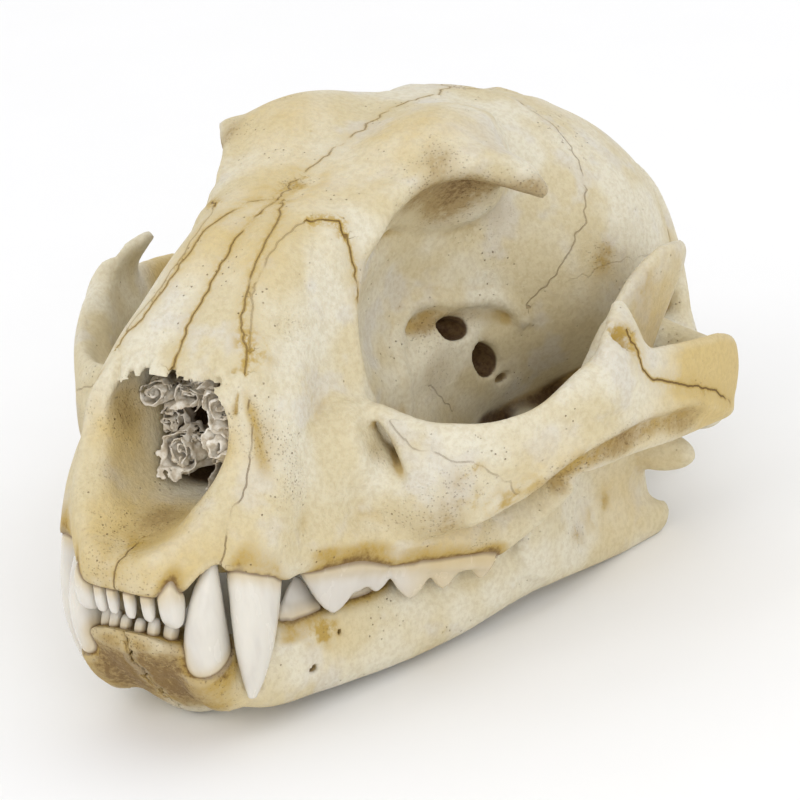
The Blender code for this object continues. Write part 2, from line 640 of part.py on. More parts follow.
def main():
    for old in list(bpy.data.objects):
        bpy.data.objects.remove(old)
    skull = bpy.data.collections.new("caracal_skull")
    bpy.context.scene.collection.children.link(skull)
    draw = np.random.default_rng(SEED)

    whole = cranium()
    grown(whole, 0.9, 5, CRANIUM_TRIANGLES)
    whole = largest(whole)
    sheet = (GAP, 90, 140)
    cuts = [slab("cut_middle", (0, 69.0, 20), sheet, 90)]
    cuts += [slab("cut_side", (way * 31.2, 66.0, 10), sheet, way * -4.2) for way in (1, -1)]
    combine(whole, cuts, "DIFFERENCE")
    bones = {}
    parts = closed_parts(whole)
    for scrap in parts[4:]:
        bpy.data.objects.remove(scrap)
    for part in parts[:4]:
        x, y, _ = points_of(part).mean(axis=0)
        side = "left" if x > 0 else "right"
        part.name = "zygomatic_arch_" + side if abs(x) > 20 else "braincase" if y > 69 else "face"
        bones[part.name] = part
    combine(bones["face"], teeth("upper", "left", draw) + teeth("upper", "right", draw), "UNION")

    jaw = lower_jaw()
    grown(jaw, 0.8, 5, JAW_TRIANGLES)
    combine(jaw, [slab("cut_chin", (GAP / 2 - 30, 20, 0), (60, 80, 120))], "DIFFERENCE")
    jaw = largest(jaw)
    for side, bone in zip(("left", "right"), pair(jaw)):
        combine(bone, teeth("lower", side, draw), "UNION")
        bone.name = "mandible_" + side
        bones[bone.name] = bone
    nod, floor = rest_angle(points_of(bones["mandible_left"]))
    along = np.concatenate([points_of(bone)[:, 1:] @ (cos(nod), sin(nod)) for bone in bones.values()])
    rest = bpy.data.objects.new("rest", None)
    skull.objects.link(rest)
    rest.rotation_euler.x = -nod
    rest.location = (0, -(along.min() + along.max()) / 2 * MM, -floor * MM)
    for name in list(bones):
        piece = largest(bones[name])
        piece.name = name
        bpy.context.scene.collection.objects.unlink(piece)
        skull.objects.link(piece)
        piece.parent = rest
        piece.data.materials.clear()
        piece.data.materials.append(material(name + "_bone", BONE, 0.6))


if __name__ in ("__main__", "part"):
    main()
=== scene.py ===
# %% [markdown]
# # A caracal's skull, life size
#
# The real object is a cleaned skull that rests on its chin and on the angles of its lower jaws. Bone has
# almost no flat faces or round tubes: every part flows into the next. This lesson builds it in three
# stages. Simple surfaces are worked out with numpy, they are melted together on a grid of distances, and
# the skin of that grid becomes the mesh. All sizes are millimetres in the skull's own frame: x to the
# animal's left, y from the front teeth back, z up.

# %% The fixed frame
from math import cos, pi, radians, sin

import bpy
import numpy as np
import openvdb
from mathutils import Matrix, Vector


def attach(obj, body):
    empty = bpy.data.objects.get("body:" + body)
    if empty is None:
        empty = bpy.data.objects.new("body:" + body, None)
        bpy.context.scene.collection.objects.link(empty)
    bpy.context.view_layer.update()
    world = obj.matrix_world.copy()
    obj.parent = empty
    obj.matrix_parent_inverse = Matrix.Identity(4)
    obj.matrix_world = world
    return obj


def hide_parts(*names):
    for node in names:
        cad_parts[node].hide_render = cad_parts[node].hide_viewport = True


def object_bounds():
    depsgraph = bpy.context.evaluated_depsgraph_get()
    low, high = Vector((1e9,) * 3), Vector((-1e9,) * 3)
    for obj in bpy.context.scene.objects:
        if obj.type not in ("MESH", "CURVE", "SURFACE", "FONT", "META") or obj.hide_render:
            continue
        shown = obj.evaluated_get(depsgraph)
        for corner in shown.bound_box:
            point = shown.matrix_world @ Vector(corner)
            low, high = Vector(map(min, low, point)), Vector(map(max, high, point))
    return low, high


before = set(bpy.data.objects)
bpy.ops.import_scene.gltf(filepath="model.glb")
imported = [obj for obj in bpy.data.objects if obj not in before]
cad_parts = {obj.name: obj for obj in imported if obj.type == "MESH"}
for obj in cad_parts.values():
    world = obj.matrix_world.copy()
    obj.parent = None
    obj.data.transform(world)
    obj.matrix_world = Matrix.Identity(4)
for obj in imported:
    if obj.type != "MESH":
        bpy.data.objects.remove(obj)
CAD_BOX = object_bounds()
MM = 0.001
SEED = 11
print("solids:", ", ".join(sorted(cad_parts)))

# %% [markdown]
# ## From the skull's frame to the floor
#
# The forms are easiest to describe while the skull looks straight ahead. At rest it nods a little, so that
# chin and jaw angles touch the floor. Working in the first frame and turning the finished points is simpler
# than turning every size, and it keeps each object at the origin with its place in its mesh.

# %% The pose at rest
NOD = radians(9.256)
REST_Y, REST_Z = -62.351, 28.274
INSET = 1e-5


def on_floor(points):
    """Places in mm, nodded about x and lowered to the floor, in metres, kept a hair inside the solids' box."""
    x, y, z = points.T
    ahead = y * cos(NOD) + z * sin(NOD) + REST_Y
    up = z * cos(NOD) - y * sin(NOD) + REST_Z
    low, high = np.array(CAD_BOX)
    return np.clip(MM * np.stack([x, ahead, up], -1), low + INSET, high - INSET)


print("nod of %.1f degrees" % np.degrees(NOD))

# %% [markdown]
# ## Surfaces of two parameters
#
# A snout or a braincase is a stack of rounded sections, and a cheek arch is a section carried along a path.
# Both are grids of points: one parameter runs along the form, the other round it. A smooth curve through a
# few measured rows gives the many sections in between, so the tables stay short.

# %% Rows, rings and closed forms


def stations(table, count):
    """Rows read at even places on a Catmull-Rom curve through the table's rows."""
    rows = np.array(table, float)
    place = np.linspace(0, len(rows) - 1, count)
    first = np.clip(place.astype(int), 0, len(rows) - 2)
    u = (place - first)[:, None]
    more = np.vstack([2 * rows[0] - rows[1], rows, 2 * rows[-1] - rows[-2]])
    a, b, c, d = more[first], more[first + 1], more[first + 2], more[first + 3]
    return b + 0.5 * u * (c - a + u * (2 * a - 5 * b + 4 * c - d + u * (3 * (b - c) + d - a)))


def rounded(sides, squareness):
    """Superellipse, as (across, up): cosine and sine raised to 2 / squareness with their signs kept."""
    turn = np.linspace(0, 2 * pi, sides, endpoint=False)
    power = 2 / squareness
    across = np.sign(np.cos(turn)) * np.abs(np.cos(turn)) ** power
    return across, np.sign(np.sin(turn)) * np.abs(np.sin(turn)) ** power


def loft(table, squareness=2.4, sides=48):
    """Rings across the middle plane: rows are y, top, bottom, low half width, high half width."""
    y, top, bottom, low, high = stations(table, 5 * len(table)).T[:, :, None]
    across, up = rounded(sides, squareness)
    z = (top + bottom) / 2 + (top - bottom) / 2 * up
    x = across * ((low + high) / 2 + (high - low) / 2 * up)
    return np.stack([x, y + 0 * x, z], -1)


def blade(table, squareness=2.6, sides=40):
    """Level rings of an upright plate: rows are z, front, back, x of the middle, half thickness."""
    z, front, back, middle, thick = stations(table, 5 * len(table)).T[:, :, None]
    across, along = rounded(sides, squareness)
    x = middle + thick * across
    y = (front + back) / 2 + (back - front) / 2 * along
    return np.stack([x, y, z + 0 * x], -1)


def sweep(table, squareness=2.2, sides=28, density=5, lean=0.0):
    """Rings along a path, as upright as it lets them: rows are x, y, z, half thickness, half height."""
    rows = stations(table, density * len(table))
    path, thick, high = rows[:, :3], rows[:, 3], rows[:, 4]
    ahead = np.gradient(path, axis=0)
    ahead /= np.linalg.norm(ahead, axis=1)[:, None]
    steep = np.abs(ahead[:, 2]).mean() > 0.7
    up = np.array((0, 1, 0)) if steep else np.array((0, 0, 1))
    side = np.cross(ahead, up)
    side /= np.linalg.norm(side, axis=1)[:, None]
    up = np.cross(side, ahead)
    across, rise = rounded(sides, squareness)
    out = across[:, None] * side[:, None] * thick[:, None, None]
    rings = path[:, None] + out + rise[:, None] * up[:, None] * high[:, None, None]
    rings[..., 0] -= lean * (rings[..., 2] - path[:, None, 2])
    return rings


def closed(rings):
    """Points, quads and triangles of the surface through the rings, each end closed by a fan."""
    count, sides = rings.shape[:2]
    index = np.arange(count * sides).reshape(count, sides)
    turned = np.roll(index, -1, axis=1)
    quads = np.stack([index[:-1], turned[:-1], turned[1:], index[1:]], -1).reshape(-1, 4)
    start, end = np.full(sides, count * sides), np.full(sides, count * sides + 1)
    fans = [np.stack([turned[0], index[0], start], -1), np.stack([index[-1], turned[-1], end], -1)]
    fans = np.concatenate(fans)
    points = np.concatenate([rings.reshape(-1, 3), rings[[0, -1]].mean(axis=1)])
    return points.astype(np.float32), quads.astype(np.uint32), fans.astype(np.uint32)


print("a ball-like loft has", loft([(0, 1, -1, 1, 1), (1, 1, -1, 1, 1)]).shape, "ring points")

# %% [markdown]
# ## A grid of distances
#
# A Boolean union leaves a crease where two forms meet, and bone has none. So every form is turned into a
# field: at each point of a fine grid, how far the point is outside the form. The smaller of two fields is
# their union, and rounding that choice off where they are nearly equal melts the forms together. The skull
# is the same on both sides, so the fields cover its left half and are mirrored at the end.

# %% Fields and how they join
BAND = 9


class Space:
    """A box of grid points, voxel apart, whose x, y and z reach from low to high."""

    def __init__(self, low, high, voxel):
        self.voxel = voxel
        self.first = np.floor(np.array(low) / voxel + 1e-6).astype(int)
        self.corner = tuple(int(i) for i in self.first)
        self.counts = np.ceil(np.array(high) / voxel - 1e-6).astype(int) - self.first + 1
        axes = [((f + np.arange(n)) * voxel).astype(np.float32) for f, n in zip(self.first, self.counts)]
        self.x, self.y, self.z = axes[0][:, None, None], axes[1][None, :, None], axes[2][None, None, :]

    def near(self, points, margin):
        """Slices of the grid that hold the points and a margin round them."""
        low = np.floor((points.min(axis=0) - margin) / self.voxel).astype(int) - self.first
        high = np.ceil((points.max(axis=0) + margin) / self.voxel).astype(int) - self.first + 1
        return tuple(slice(max(a, 0), max(b, 0)) for a, b in zip(low, high))


def form(space, rings):
    """Field of a closed surface: its distance, cut off at a band of grid steps."""
    points, quads, fans = closed(rings)
    scale = openvdb.createLinearTransform(voxelSize=space.voxel)
    grid = openvdb.FloatGrid.createLevelSetFromPolygons(
        points, triangles=fans, quads=quads, transform=scale, halfWidth=BAND)
    field = np.empty(tuple(space.counts), np.float32)
    grid.copyToArray(field, ijk=space.corner)
    return field


def ball(space, middle, radii, turn=(0, 0, 0)):
    """Field of an ellipsoid: k (k - 1) / g, where k is the scaled length and g the length of its slope."""
    angles = np.radians(turn)
    spin = np.array(Matrix.Rotation(angles[2], 3, "Z") @ Matrix.Rotation(angles[1], 3, "Y")
                    @ Matrix.Rotation(angles[0], 3, "X"))
    away = [space.x - middle[0], space.y - middle[1], space.z - middle[2]]
    local = [sum(spin[row, axis] * away[row] for row in range(3)) for axis in range(3)]
    scaled = np.sqrt(sum((part / radius) ** 2 for part, radius in zip(local, radii))) + 1e-6
    slope = np.sqrt(sum((part / radius ** 2) ** 2 for part, radius in zip(local, radii))) + 1e-6
    reach = BAND * space.voxel
    return np.clip(scaled * (scaled - 1) / slope, -reach, reach).astype(np.float32)


def join(a, b, soft):
    """Union: the smaller field, less soft / 4 times the squared share of soft by which they nearly agree."""
    near = np.clip(soft - np.abs(a - b), 0, None) / soft
    return np.minimum(a, b) - soft * near * near / 4


def carve(a, b, soft):
    """What is left of a outside b, with the edge rounded by soft."""
    return -join(-a, b, soft)


def mirrored(field):
    """The half field and its twin on the other side of the middle plane, x from low to high."""
    return np.concatenate([field[:0:-1], field])


print("fields reach %d grid steps from a surface" % BAND)

# %% [markdown]
# ## Brushes
#
# A sculptor would now add ridges, dents and a slightly uneven skin. On a field that is an addition: a bell
# of some height, subtracted near a spot or near a path, moves the surface outwards by that height. Random
# waves on two scales keep the bone from looking turned on a lathe.

# %% Swellings, ridges and grain
# Both are in widths of the ridge: a sample's step and how far the bell is worked out
RIDGE_STEP, BELL_REACH = 0.6, 3


def swell(space, field, spots):
    """Raises the surface by height times a bell with three radii round each spot (middle, radii, height)."""
    for middle, radii, height in spots:
        bell = -height
        for axis, place, radius in zip((space.x, space.y, space.z), middle, radii):
            bell = bell * np.exp(-(((axis - place) / radius) ** 2))
        field += bell


def distance_to(space, box, samples):
    """Squared distance from each grid point of the box to the nearest sample."""
    x, y, z = space.x[box[0]], space.y[:, box[1]], space.z[:, :, box[2]]
    nearest = np.full(np.broadcast_shapes(x.shape, y.shape, z.shape), 1e9, np.float32)
    for sx, sy, sz in samples:
        np.minimum(nearest, (x - sx) ** 2 + (y - sy) ** 2 + (z - sz) ** 2, out=nearest)
    return nearest


def length_of(path):
    """Sum of the straight distances from each place to the next."""
    return np.linalg.norm(np.diff(np.array(path, float), axis=0), axis=1).sum()


def ridge(space, field, path, width, height):
    """Raises a ridge along a path laid on the surface: height times a bell of distance over width."""
    count = max(int(length_of(path) / (RIDGE_STEP * width)), 4)
    samples = on_surface(space, field, stations(path, count))
    box = space.near(samples, BELL_REACH * width)
    field[box] -= height * np.exp(-distance_to(space, box, samples) / width ** 2)


def grain(space, size, draw):
    """Random heights on a lattice of that size, blended along each axis by cubic B-splines."""
    lattice = [int(n * space.voxel / size) + 6 for n in space.counts]
    waves = draw.normal(size=lattice)
    for axis, count in enumerate(space.counts):
        place = np.arange(count) * space.voxel / size + 1
        cell = place.astype(int)
        u = place - cell
        weights = [(1 - u) ** 3, 3 * u ** 3 - 6 * u ** 2 + 4, 3 * (u + u ** 2 - u ** 3) + 1, u ** 3]
        turned = np.moveaxis(waves, axis, 0)
        blend = sum(w[:, None, None] / 6 * turned[cell - 1 + k] for k, w in enumerate(weights))
        waves = np.moveaxis(blend, 0, axis)
    return waves.astype(np.float32)


print("brushes ready")

# %% [markdown]
# ## The skin of a field
#
# OpenVDB walks through the grid and puts a quad wherever the field changes sign. It places the corners
# between the grid points, so the skin is smooth. Loose crumbs are dropped by giving every point the lowest
# number that its neighbours have, over and over, until each connected part has one number.

# %% Skins, crumbs and readings


def surface(space, field):
    """Points and quads where the field is zero."""
    grid = openvdb.FloatGrid(BAND * space.voxel)
    grid.copyFromArray(np.ascontiguousarray(field, np.float32), ijk=space.corner)
    grid.transform = openvdb.createLinearTransform(voxelSize=space.voxel)
    points, quads = grid.convertToQuads(0)
    return points, quads.astype(np.int64)


def skin(space, field, least=None):
    """The surface's largest connected part, or all its parts of at least that many points."""
    points, quads = surface(space, field)
    a, b = quads.ravel(), np.roll(quads, -1, axis=1).ravel()
    label = np.arange(len(points))
    while True:
        low = np.minimum(label[a], label[b])
        new = label.copy()
        np.minimum.at(new, a, low)
        np.minimum.at(new, b, low)
        new = new[new]
        if (new == label).all():
            break
        label = new
    counts = np.bincount(label)
    kept = counts[label] >= (counts.max() if least is None else least)
    number = np.cumsum(kept) - 1
    return points[kept], number[quads[kept[quads[:, 0]]]]


def read(space, field, points):
    """The field at any points, blended linearly from the eight grid points round each."""
    place = points / space.voxel - space.first
    cell = np.clip(place.astype(int), 0, np.array(field.shape) - 2)
    u = np.clip(place - cell, 0, 1)
    total = 0.0
    for corner in np.ndindex(2, 2, 2):
        share = np.prod(np.where(corner, u, 1 - u), axis=1)
        total = total + share * field[tuple((cell + corner).T)]
    return total


def unit(arrows):
    """The arrows, each divided by its length."""
    return arrows / (np.linalg.norm(arrows, axis=1)[:, None] + 1e-9)


def slope(space, field, points):
    """Unit direction in which the field grows, from differences over half a grid step."""
    step = space.voxel / 2
    rise = [read(space, field, points + d) - read(space, field, points - d) for d in step * np.eye(3)]
    return unit(np.stack(rise, -1))


def on_surface(space, field, path):
    """Moves places to the surface: against the field's slope, by the field's value, a few times."""
    for _ in range(4):
        path = path - read(space, field, path)[:, None] * slope(space, field, path)
    return path


print("skins ready")

# %% [markdown]
# ## The skull without its lower jaws
#
# The tables are the bone's main forms: the snout, the cheek blocks that hold the rear teeth, the forehead
# between the eyes, the thin wall inside the eye sockets, the braincase, and the bars of the cheek arches.
# The same named sizes shape the solids, so the finished bone lies on them.

# %% Forms of the skull
MUZZLE = [
    (-2.0, -0.4, -3.4, 3.4, 3.0), (-1.2, 2.6, -4.2, 6.2, 5.6), (1.0, 4.8, -4.6, 8.8, 7.6),
    (4.0, 13.0, -3.8, 12.0, 10.6), (7.5, 20.4, -3.0, 14.0, 12.8),
    (11.0, 23.8, -3.0, 14.8, 13.8), (15.0, 28.6, -3.0, 14.8, 13.6),
    (19.0, 32.8, -3.2, 15.4, 12.8), (23.0, 36.8, -3.8, 17.0, 12.0), (27.0, 39.8, -4.2, 19.2, 11.6),
    (31.0, 41.6, -4.8, 21.0, 11.8), (35.0, 42.0, -5.2, 21.6, 12.4), (40.0, 42.6, -5.6, 21.0, 12.0),
]
CHEEK = [
    (26.0, 9.0, -3.6, 18.0, 16.0), (33.0, 11.0, -5.0, 22.2, 20.0), (41.0, 11.5, -6.4, 25.2, 24.0),
    (47.0, 9.8, -7.0, 25.8, 25.6), (53.0, 8.6, -5.8, 24.4, 24.4), (60.0, 4.4, -3.0, 20.6, 18.6),
]
FOREHEAD = [
    (33.0, 41.6, 33.0, 12.0, 10.0), (38.0, 43.0, 34.0, 14.4, 11.8), (44.0, 45.4, 35.5, 16.2, 14.4),
    (50.0, 47.8, 37.0, 18.4, 16.6), (56.0, 49.8, 37.5, 20.6, 18.0), (62.0, 50.8, 36.5, 20.4, 17.4),
    (68.0, 51.3, 35.0, 17.2, 15.4), (75.0, 51.0, 36.0, 13.0, 12.0),
]
EYE_WALL = [
    (32.0, 38.0, -2.0, 12.0, 11.0), (40.0, 41.0, -3.0, 12.0, 10.6), (50.0, 43.0, -4.0, 11.0, 10.0),
    (60.0, 45.0, -3.0, 11.0, 11.6), (68.0, 47.0, -1.0, 12.5, 14.0), (76.0, 49.0, 1.0, 15.0, 18.6),
    (84.0, 50.0, 3.0, 17.0, 22.0),
]
BRAINCASE = [
    (69.0, 48.6, 16.0, 12.0, 13.6), (74.0, 50.2, 10.0, 17.4, 17.6), (80.0, 50.6, 6.0, 22.6, 22.4),
    (88.0, 49.7, 4.0, 26.4, 25.6), (96.0, 48.0, 3.6, 27.2, 26.0), (104.0, 45.2, 4.0, 26.0, 24.0),
    (111.0, 41.6, 5.0, 22.6, 19.6), (117.0, 37.6, 7.0, 16.6, 13.8), (121.0, 34.2, 15.0, 8.0, 7.0),
]
SKULL_BASE = [
    (60.0, 11.0, 2.6, 6.6, 8.0), (70.0, 12.0, 2.4, 8.0, 11.0), (80.0, 13.0, 2.2, 10.0, 15.0),
    (92.0, 14.0, 1.8, 12.0, 18.0), (106.0, 13.0, 2.4, 11.0, 16.0), (115.0, 12.0, 4.0, 10.0, 14.0),
    (119.0, 11.0, 6.0, 9.0, 10.0),
]
CHEEK_ARCH = [
    (19.4, 32.4, 6.8, 4.6, 9.8), (27.6, 34.4, 7.4, 4.2, 8.2), (33.8, 39.6, 10.0, 3.1, 6.6),
    (38.2, 45.4, 12.4, 2.8, 6.7), (41.4, 52.4, 13.9, 2.6, 7.8), (43.2, 61.0, 14.1, 2.3, 7.5),
    (44.9, 71.0, 14.0, 2.0, 7.3), (45.2, 79.2, 13.6, 1.9, 7.0), (43.8, 86.0, 12.3, 2.1, 6.1),
    (39.6, 91.0, 11.0, 2.8, 5.2), (33.0, 94.2, 11.0, 3.6, 5.0), (25.0, 96.5, 12.0, 4.0, 5.0),
]
CHEEK_SPUR = [
    (42.8, 57.0, 16.0, 2.2, 6.8), (43.1, 57.2, 20.6, 1.8, 5.6), (42.2, 58.6, 23.8, 1.5, 3.8),
    (40.7, 60.4, 26.2, 1.1, 2.0), (39.6, 61.6, 27.6, 0.7, 0.9),
]
BROW_SPUR = [
    (14.0, 57.0, 44.8, 8.0, 4.6), (20.4, 58.8, 44.4, 6.0, 3.6), (24.2, 61.4, 43.0, 3.0, 2.4),
    (26.4, 63.2, 41.4, 1.1, 1.0),
]
BROW_RIM = [
    (13.4, 43.0, 42.4, 1.0, 1.2), (15.6, 49.0, 45.2, 1.6, 1.4), (18.8, 54.2, 45.9, 2.0, 1.9),
    (22.0, 58.4, 44.6, 2.2, 2.1), (24.8, 61.6, 42.7, 1.7, 1.7), (26.8, 63.6, 41.2, 0.8, 0.9),
]
CANINE_ROOT = [
    (13.5, 11.3, -2.0, 3.6, 5.4), (13.7, 12.8, 2.6, 3.9, 5.3), (13.7, 14.4, 7.6, 3.7, 4.7),
    (12.8, 17.6, 14.0, 3.4, 4.2),
    (11.4, 22.4, 22.6, 3.0, 3.6), (9.4, 27.0, 30.0, 2.4, 3.0),
]
NUCHAL_CREST = [
    (0.0, 121.6, 33.6, 1.7, 3.4), (8.0, 120.4, 32.4, 1.6, 3.2), (15.0, 117.4, 28.6, 1.5, 3.0),
    (20.6, 113.0, 22.4, 1.5, 3.0), (24.6, 109.0, 15.0, 1.7, 3.0), (26.4, 106.4, 8.0, 2.2, 3.0),
]
GUM_RIDGE = [
    (14.6, 13.0, -0.4, 2.4, 2.8), (16.4, 19.0, -0.7, 2.4, 3.0), (19.4, 27.0, -1.5, 2.6, 3.2),
    (22.8, 34.0, -2.2, 2.8, 3.3), (25.9, 42.0, -2.8, 3.1, 3.4), (27.6, 48.6, -3.6, 2.8, 3.2),
    (26.6, 52.6, -3.4, 2.4, 3.0),
]
PTERYGOID = [
    (9.4, 50.0, 1.4, 1.7, 7.4), (9.0, 58.0, 2.4, 1.5, 7.0), (8.6, 66.0, 1.8, 1.4, 7.4),
    (8.4, 74.0, 1.0, 1.3, 6.8), (8.8, 82.0, 2.4, 1.3, 3.6), (10.0, 88.0, 4.0, 1.3, 2.0),
]
# Rear edge of the cheek's root, from the last tooth up to the arch
CHEEK_ROOT = [(27.6, 47.0, -4.6, 1.8, 2.2), (30.6, 49.0, -2.2, 1.8, 2.6), (34.2, 49.4, 1.8, 1.8, 3.0),
              (38.0, 48.6, 6.2, 1.8, 3.4)]
PAROCCIPITAL = [(19.6, 111.0, 8.0, 3.2, 3.6), (20.0, 112.6, 1.0, 2.4, 2.8), (20.2, 112.8, -5.6, 1.4, 1.5)]
# Balls: middle, radii, turn in degrees, softness of the join
BALLS = [
    ((16.0, 100.5, 1.4), (8.2, 12.6, 8.8), (0, 0, 12), 1.6),
    ((10.4, 61.0, 43.6), (8.4, 13.0, 8.4), (0, 0, 0), 4.0),
    ((9.0, 117.6, 9.0), (4.6, 5.4, 5.6), (0, 0, -25), 1.8),
    ((25.4, 105.6, 8.4), (3.6, 5.4, 6.0), (0, 0, 0), 2.5),
    ((35.0, 94.0, 5.4), (6.0, 2.2, 4.0), (0, 0, -10), 2.0),
    ((14.4, 25.4, 6.0), (5.0, 7.4, 9.0), (0, 0, 0), 4.0),
    ((17.0, 28.0, 12.0), (4.6, 5.0, 6.0), (0, 0, 0), 3.0),
    ((12.8, 86.0, 2.4), (3.4, 6.0, 2.6), (0, 0, 0), 2.5),
]
HEAD = Space((0, -4, -14), (49.5, 126, 56), 0.55)

FORMS = [
    (loft(CHEEK, 3.0), 2.0), (loft(FOREHEAD, 3.2), 2.5), (loft(EYE_WALL, 2.4), 2.0),
    (loft(BRAINCASE, 2.1, 72), 2.5), (loft(SKULL_BASE, 2.8), 2.5), (sweep(CHEEK_ARCH, 2.3, lean=-0.1), 3.0),
    (sweep(CHEEK_SPUR), 2.5), (sweep(BROW_SPUR), 2.5), (sweep(CANINE_ROOT), 2.5), (sweep(NUCHAL_CREST), 2.5),
    (sweep(GUM_RIDGE), 2.0), (sweep(PTERYGOID), 2.0), (sweep(PAROCCIPITAL), 2.0), (sweep(CHEEK_ROOT), 2.5),
]
bone = form(HEAD, loft(MUZZLE, 3.4, 72))
for rings, soft in FORMS:
    bone = join(bone, form(HEAD, rings), soft)
for middle, radii, turn, soft in BALLS:
    bone = join(bone, ball(HEAD, middle, radii, turn), soft)
print("half a skull on a grid of", " x ".join(str(n) for n in HEAD.counts))

# %% [markdown]
# ## What is hollow
#
# The eye socket is one tilted ellipsoid, whose edge with the forehead gives the sharp brow. The nose is
# open in front, along a profile that slopes back over the teeth, and a passage runs back from it. The
# palate is a shallow vault, and small passages for nerves and vessels pierce the cheek and the back of the
# socket. Each is carved with its own edge: sharp for the nose and the holes, softer for the eye.

# %% Hollows of the skull
EYE_SOCKET = ((26.7, 46.7, 29.8), (19.9, 16.4, 23.5), (40.5, -42.2, 87.3))
NOSE_HOLLOW = [
    (-6.0, 21.6, 1.6, 4.4, 10.2), (4.0, 22.0, 2.6, 5.4, 10.8), (9.0, 21.2, 3.8, 6.6, 11.2),
    (14.0, 24.6, 4.6, 7.2, 11.0), (20.0, 29.6, 4.8, 7.8, 10.2), (26.0, 33.8, 5.4, 7.8, 9.0),
    (31.0, 34.0, 8.0, 6.0, 6.0),
]
# Side view of the nose opening, as (y, z) from the front teeth up to the tip of the nose bones
NOSE_PROFILE = [(3.4, 2.4), (4.2, 6.5), (7.2, 10.4), (9.3, 14.0), (10.2, 20.4), (11.2, 24.4), (22.0, 45.0)]
# Share of y in the distance from the profile, which leans by about 30 degrees
PROFILE_SLOPE = 0.85
# Rise of the nose floor from the middle to the sides: mm per squared mm of x
NOSE_FLOOR_CURVE = 0.045
PALATE_VAULT = ((0.0, 27.0, -10.0), (13.4, 36.0, 9.4), (0, 0, 0))
CHEEK_TEETH_GROOVE = [
    (12.4, 17.0, -9.0, 2.0, 6.0), (15.2, 30.0, -9.4, 2.3, 6.4), (19.4, 43.0, -9.6, 2.5, 6.6),
    (21.6, 52.0, -9.0, 3.0, 6.0), (23.6, 60.0, -9.0, 4.0, 6.0),
]
THROAT = [(44.0, 4.0, -12.0, 7.0, 5.0), (54.0, 6.0, -12.0, 6.6, 6.0), (66.0, 5.6, -12.0, 6.0, 5.6),
          (80.0, 2.0, -12.0, 5.0, 4.0)]
SPINE_HOLE = ((0.0, 121.0, 14.2), (7.4, 12.0, 6.2), (0, 0, 0))
EAR_HOLE = ((26.0, 100.0, 7.6), (5.0, 3.4, 3.2), (0, 0, 0))
CHEEK_HOLE = [(23.6, 25.4, 12.0, 0.8, 3.0), (22.2, 29.5, 11.8, 0.6, 3.0), (20.2, 34.0, 12.2, 0.7, 2.4),
              (18.2, 39.0, 13.0, 2.0, 3.0)]
CHEEK_HOLE_LEAN = 0.63
# Pit at the tip of the cheek bone's spur
SPUR_PIT = ((42.6, 56.0, 25.0), (1.2, 1.7, 2.6), (0, 0, 0))
NERVE_HOLES = [
    ((10.6, 64.8, 19.2), (4.2, 2.9, 1.5), (-10, 0, 0)), ((13.0, 71.2, 13.6), (4.4, 3.7, 2.0), (-48, 0, 0)),
    ((15.5, 75.5, 9.8), (3.6, 2.0, 1.3), (0, 0, 0)),
]
# Over these heights the nose's edge turns from soft, at its floor, to sharp, at its thin roof
NOSE_EDGE_Z = (8, 19)
LOWER_CANINE = [
    (8.4, 10.4, -19.0, 2.2, 2.8), (8.9, 6.8, -13.4, 2.7, 3.6), (9.5, 5.3, -8.6, 2.4, 3.3),
    (9.9, 5.1, -4.2, 1.8, 2.3), (10.1, 5.7, -1.0, 1.0, 1.2), (10.2, 6.4, 0.7, 0.35, 0.35),
]
# Room that the lower canine leaves round itself in the upper jaw
CANINE_ROOM = 0.9

bone = carve(bone, ball(HEAD, *EYE_SOCKET), 1.0)
bone = join(bone, form(HEAD, sweep(BROW_RIM)), 1.5)
profile = np.array(NOSE_PROFILE)
front = HEAD.y - np.interp(HEAD.z, profile[:, 1], profile[:, 0])
nose_floor = NOSE_PROFILE[0][1] + NOSE_FLOOR_CURVE * HEAD.x ** 2
opening = -join(-PROFILE_SLOPE * front, HEAD.z - nose_floor, 3.0)
bone = carve(bone, opening, np.interp(HEAD.z, NOSE_EDGE_Z, (3.0, 0.35)))
bone = carve(bone, form(HEAD, loft(NOSE_HOLLOW, 3.0)), np.interp(HEAD.z, NOSE_EDGE_Z, (3.6, 0.35)))
before_tip, tip = np.array(LOWER_CANINE[-2:])
room = np.vstack([LOWER_CANINE, 2 * tip - before_tip])
room[-1, 3:] = 0.2
room[:, 3:] += CANINE_ROOM
hollows = [
    (ball(HEAD, *PALATE_VAULT), 2.0), (form(HEAD, loft(THROAT, 2.6)), 1.5), (ball(HEAD, *SPINE_HOLE), 1.0),
    (ball(HEAD, *EAR_HOLE), 0.8), (form(HEAD, sweep(CHEEK_HOLE, lean=CHEEK_HOLE_LEAN)), 1.6),
    (form(HEAD, sweep(CHEEK_TEETH_GROOVE)), 1.0), *((ball(HEAD, *hole), 0.4) for hole in NERVE_HOLES),
    (ball(HEAD, *SPUR_PIT), 0.5), (form(HEAD, sweep(room)), 0.6),
]
bone = bone.astype(np.float32)
for hollow, soft in hollows:
    bone = carve(bone, hollow, soft)
print("hollows carved")

# %% [markdown]
# ## Relief of the left half
#
# Muscles leave their marks: a line across the temple from the brow to the back, a crest where the neck
# pulls, and a rough ridge under the eye where the biting muscle starts. Between the brows runs a shallow
# trough.

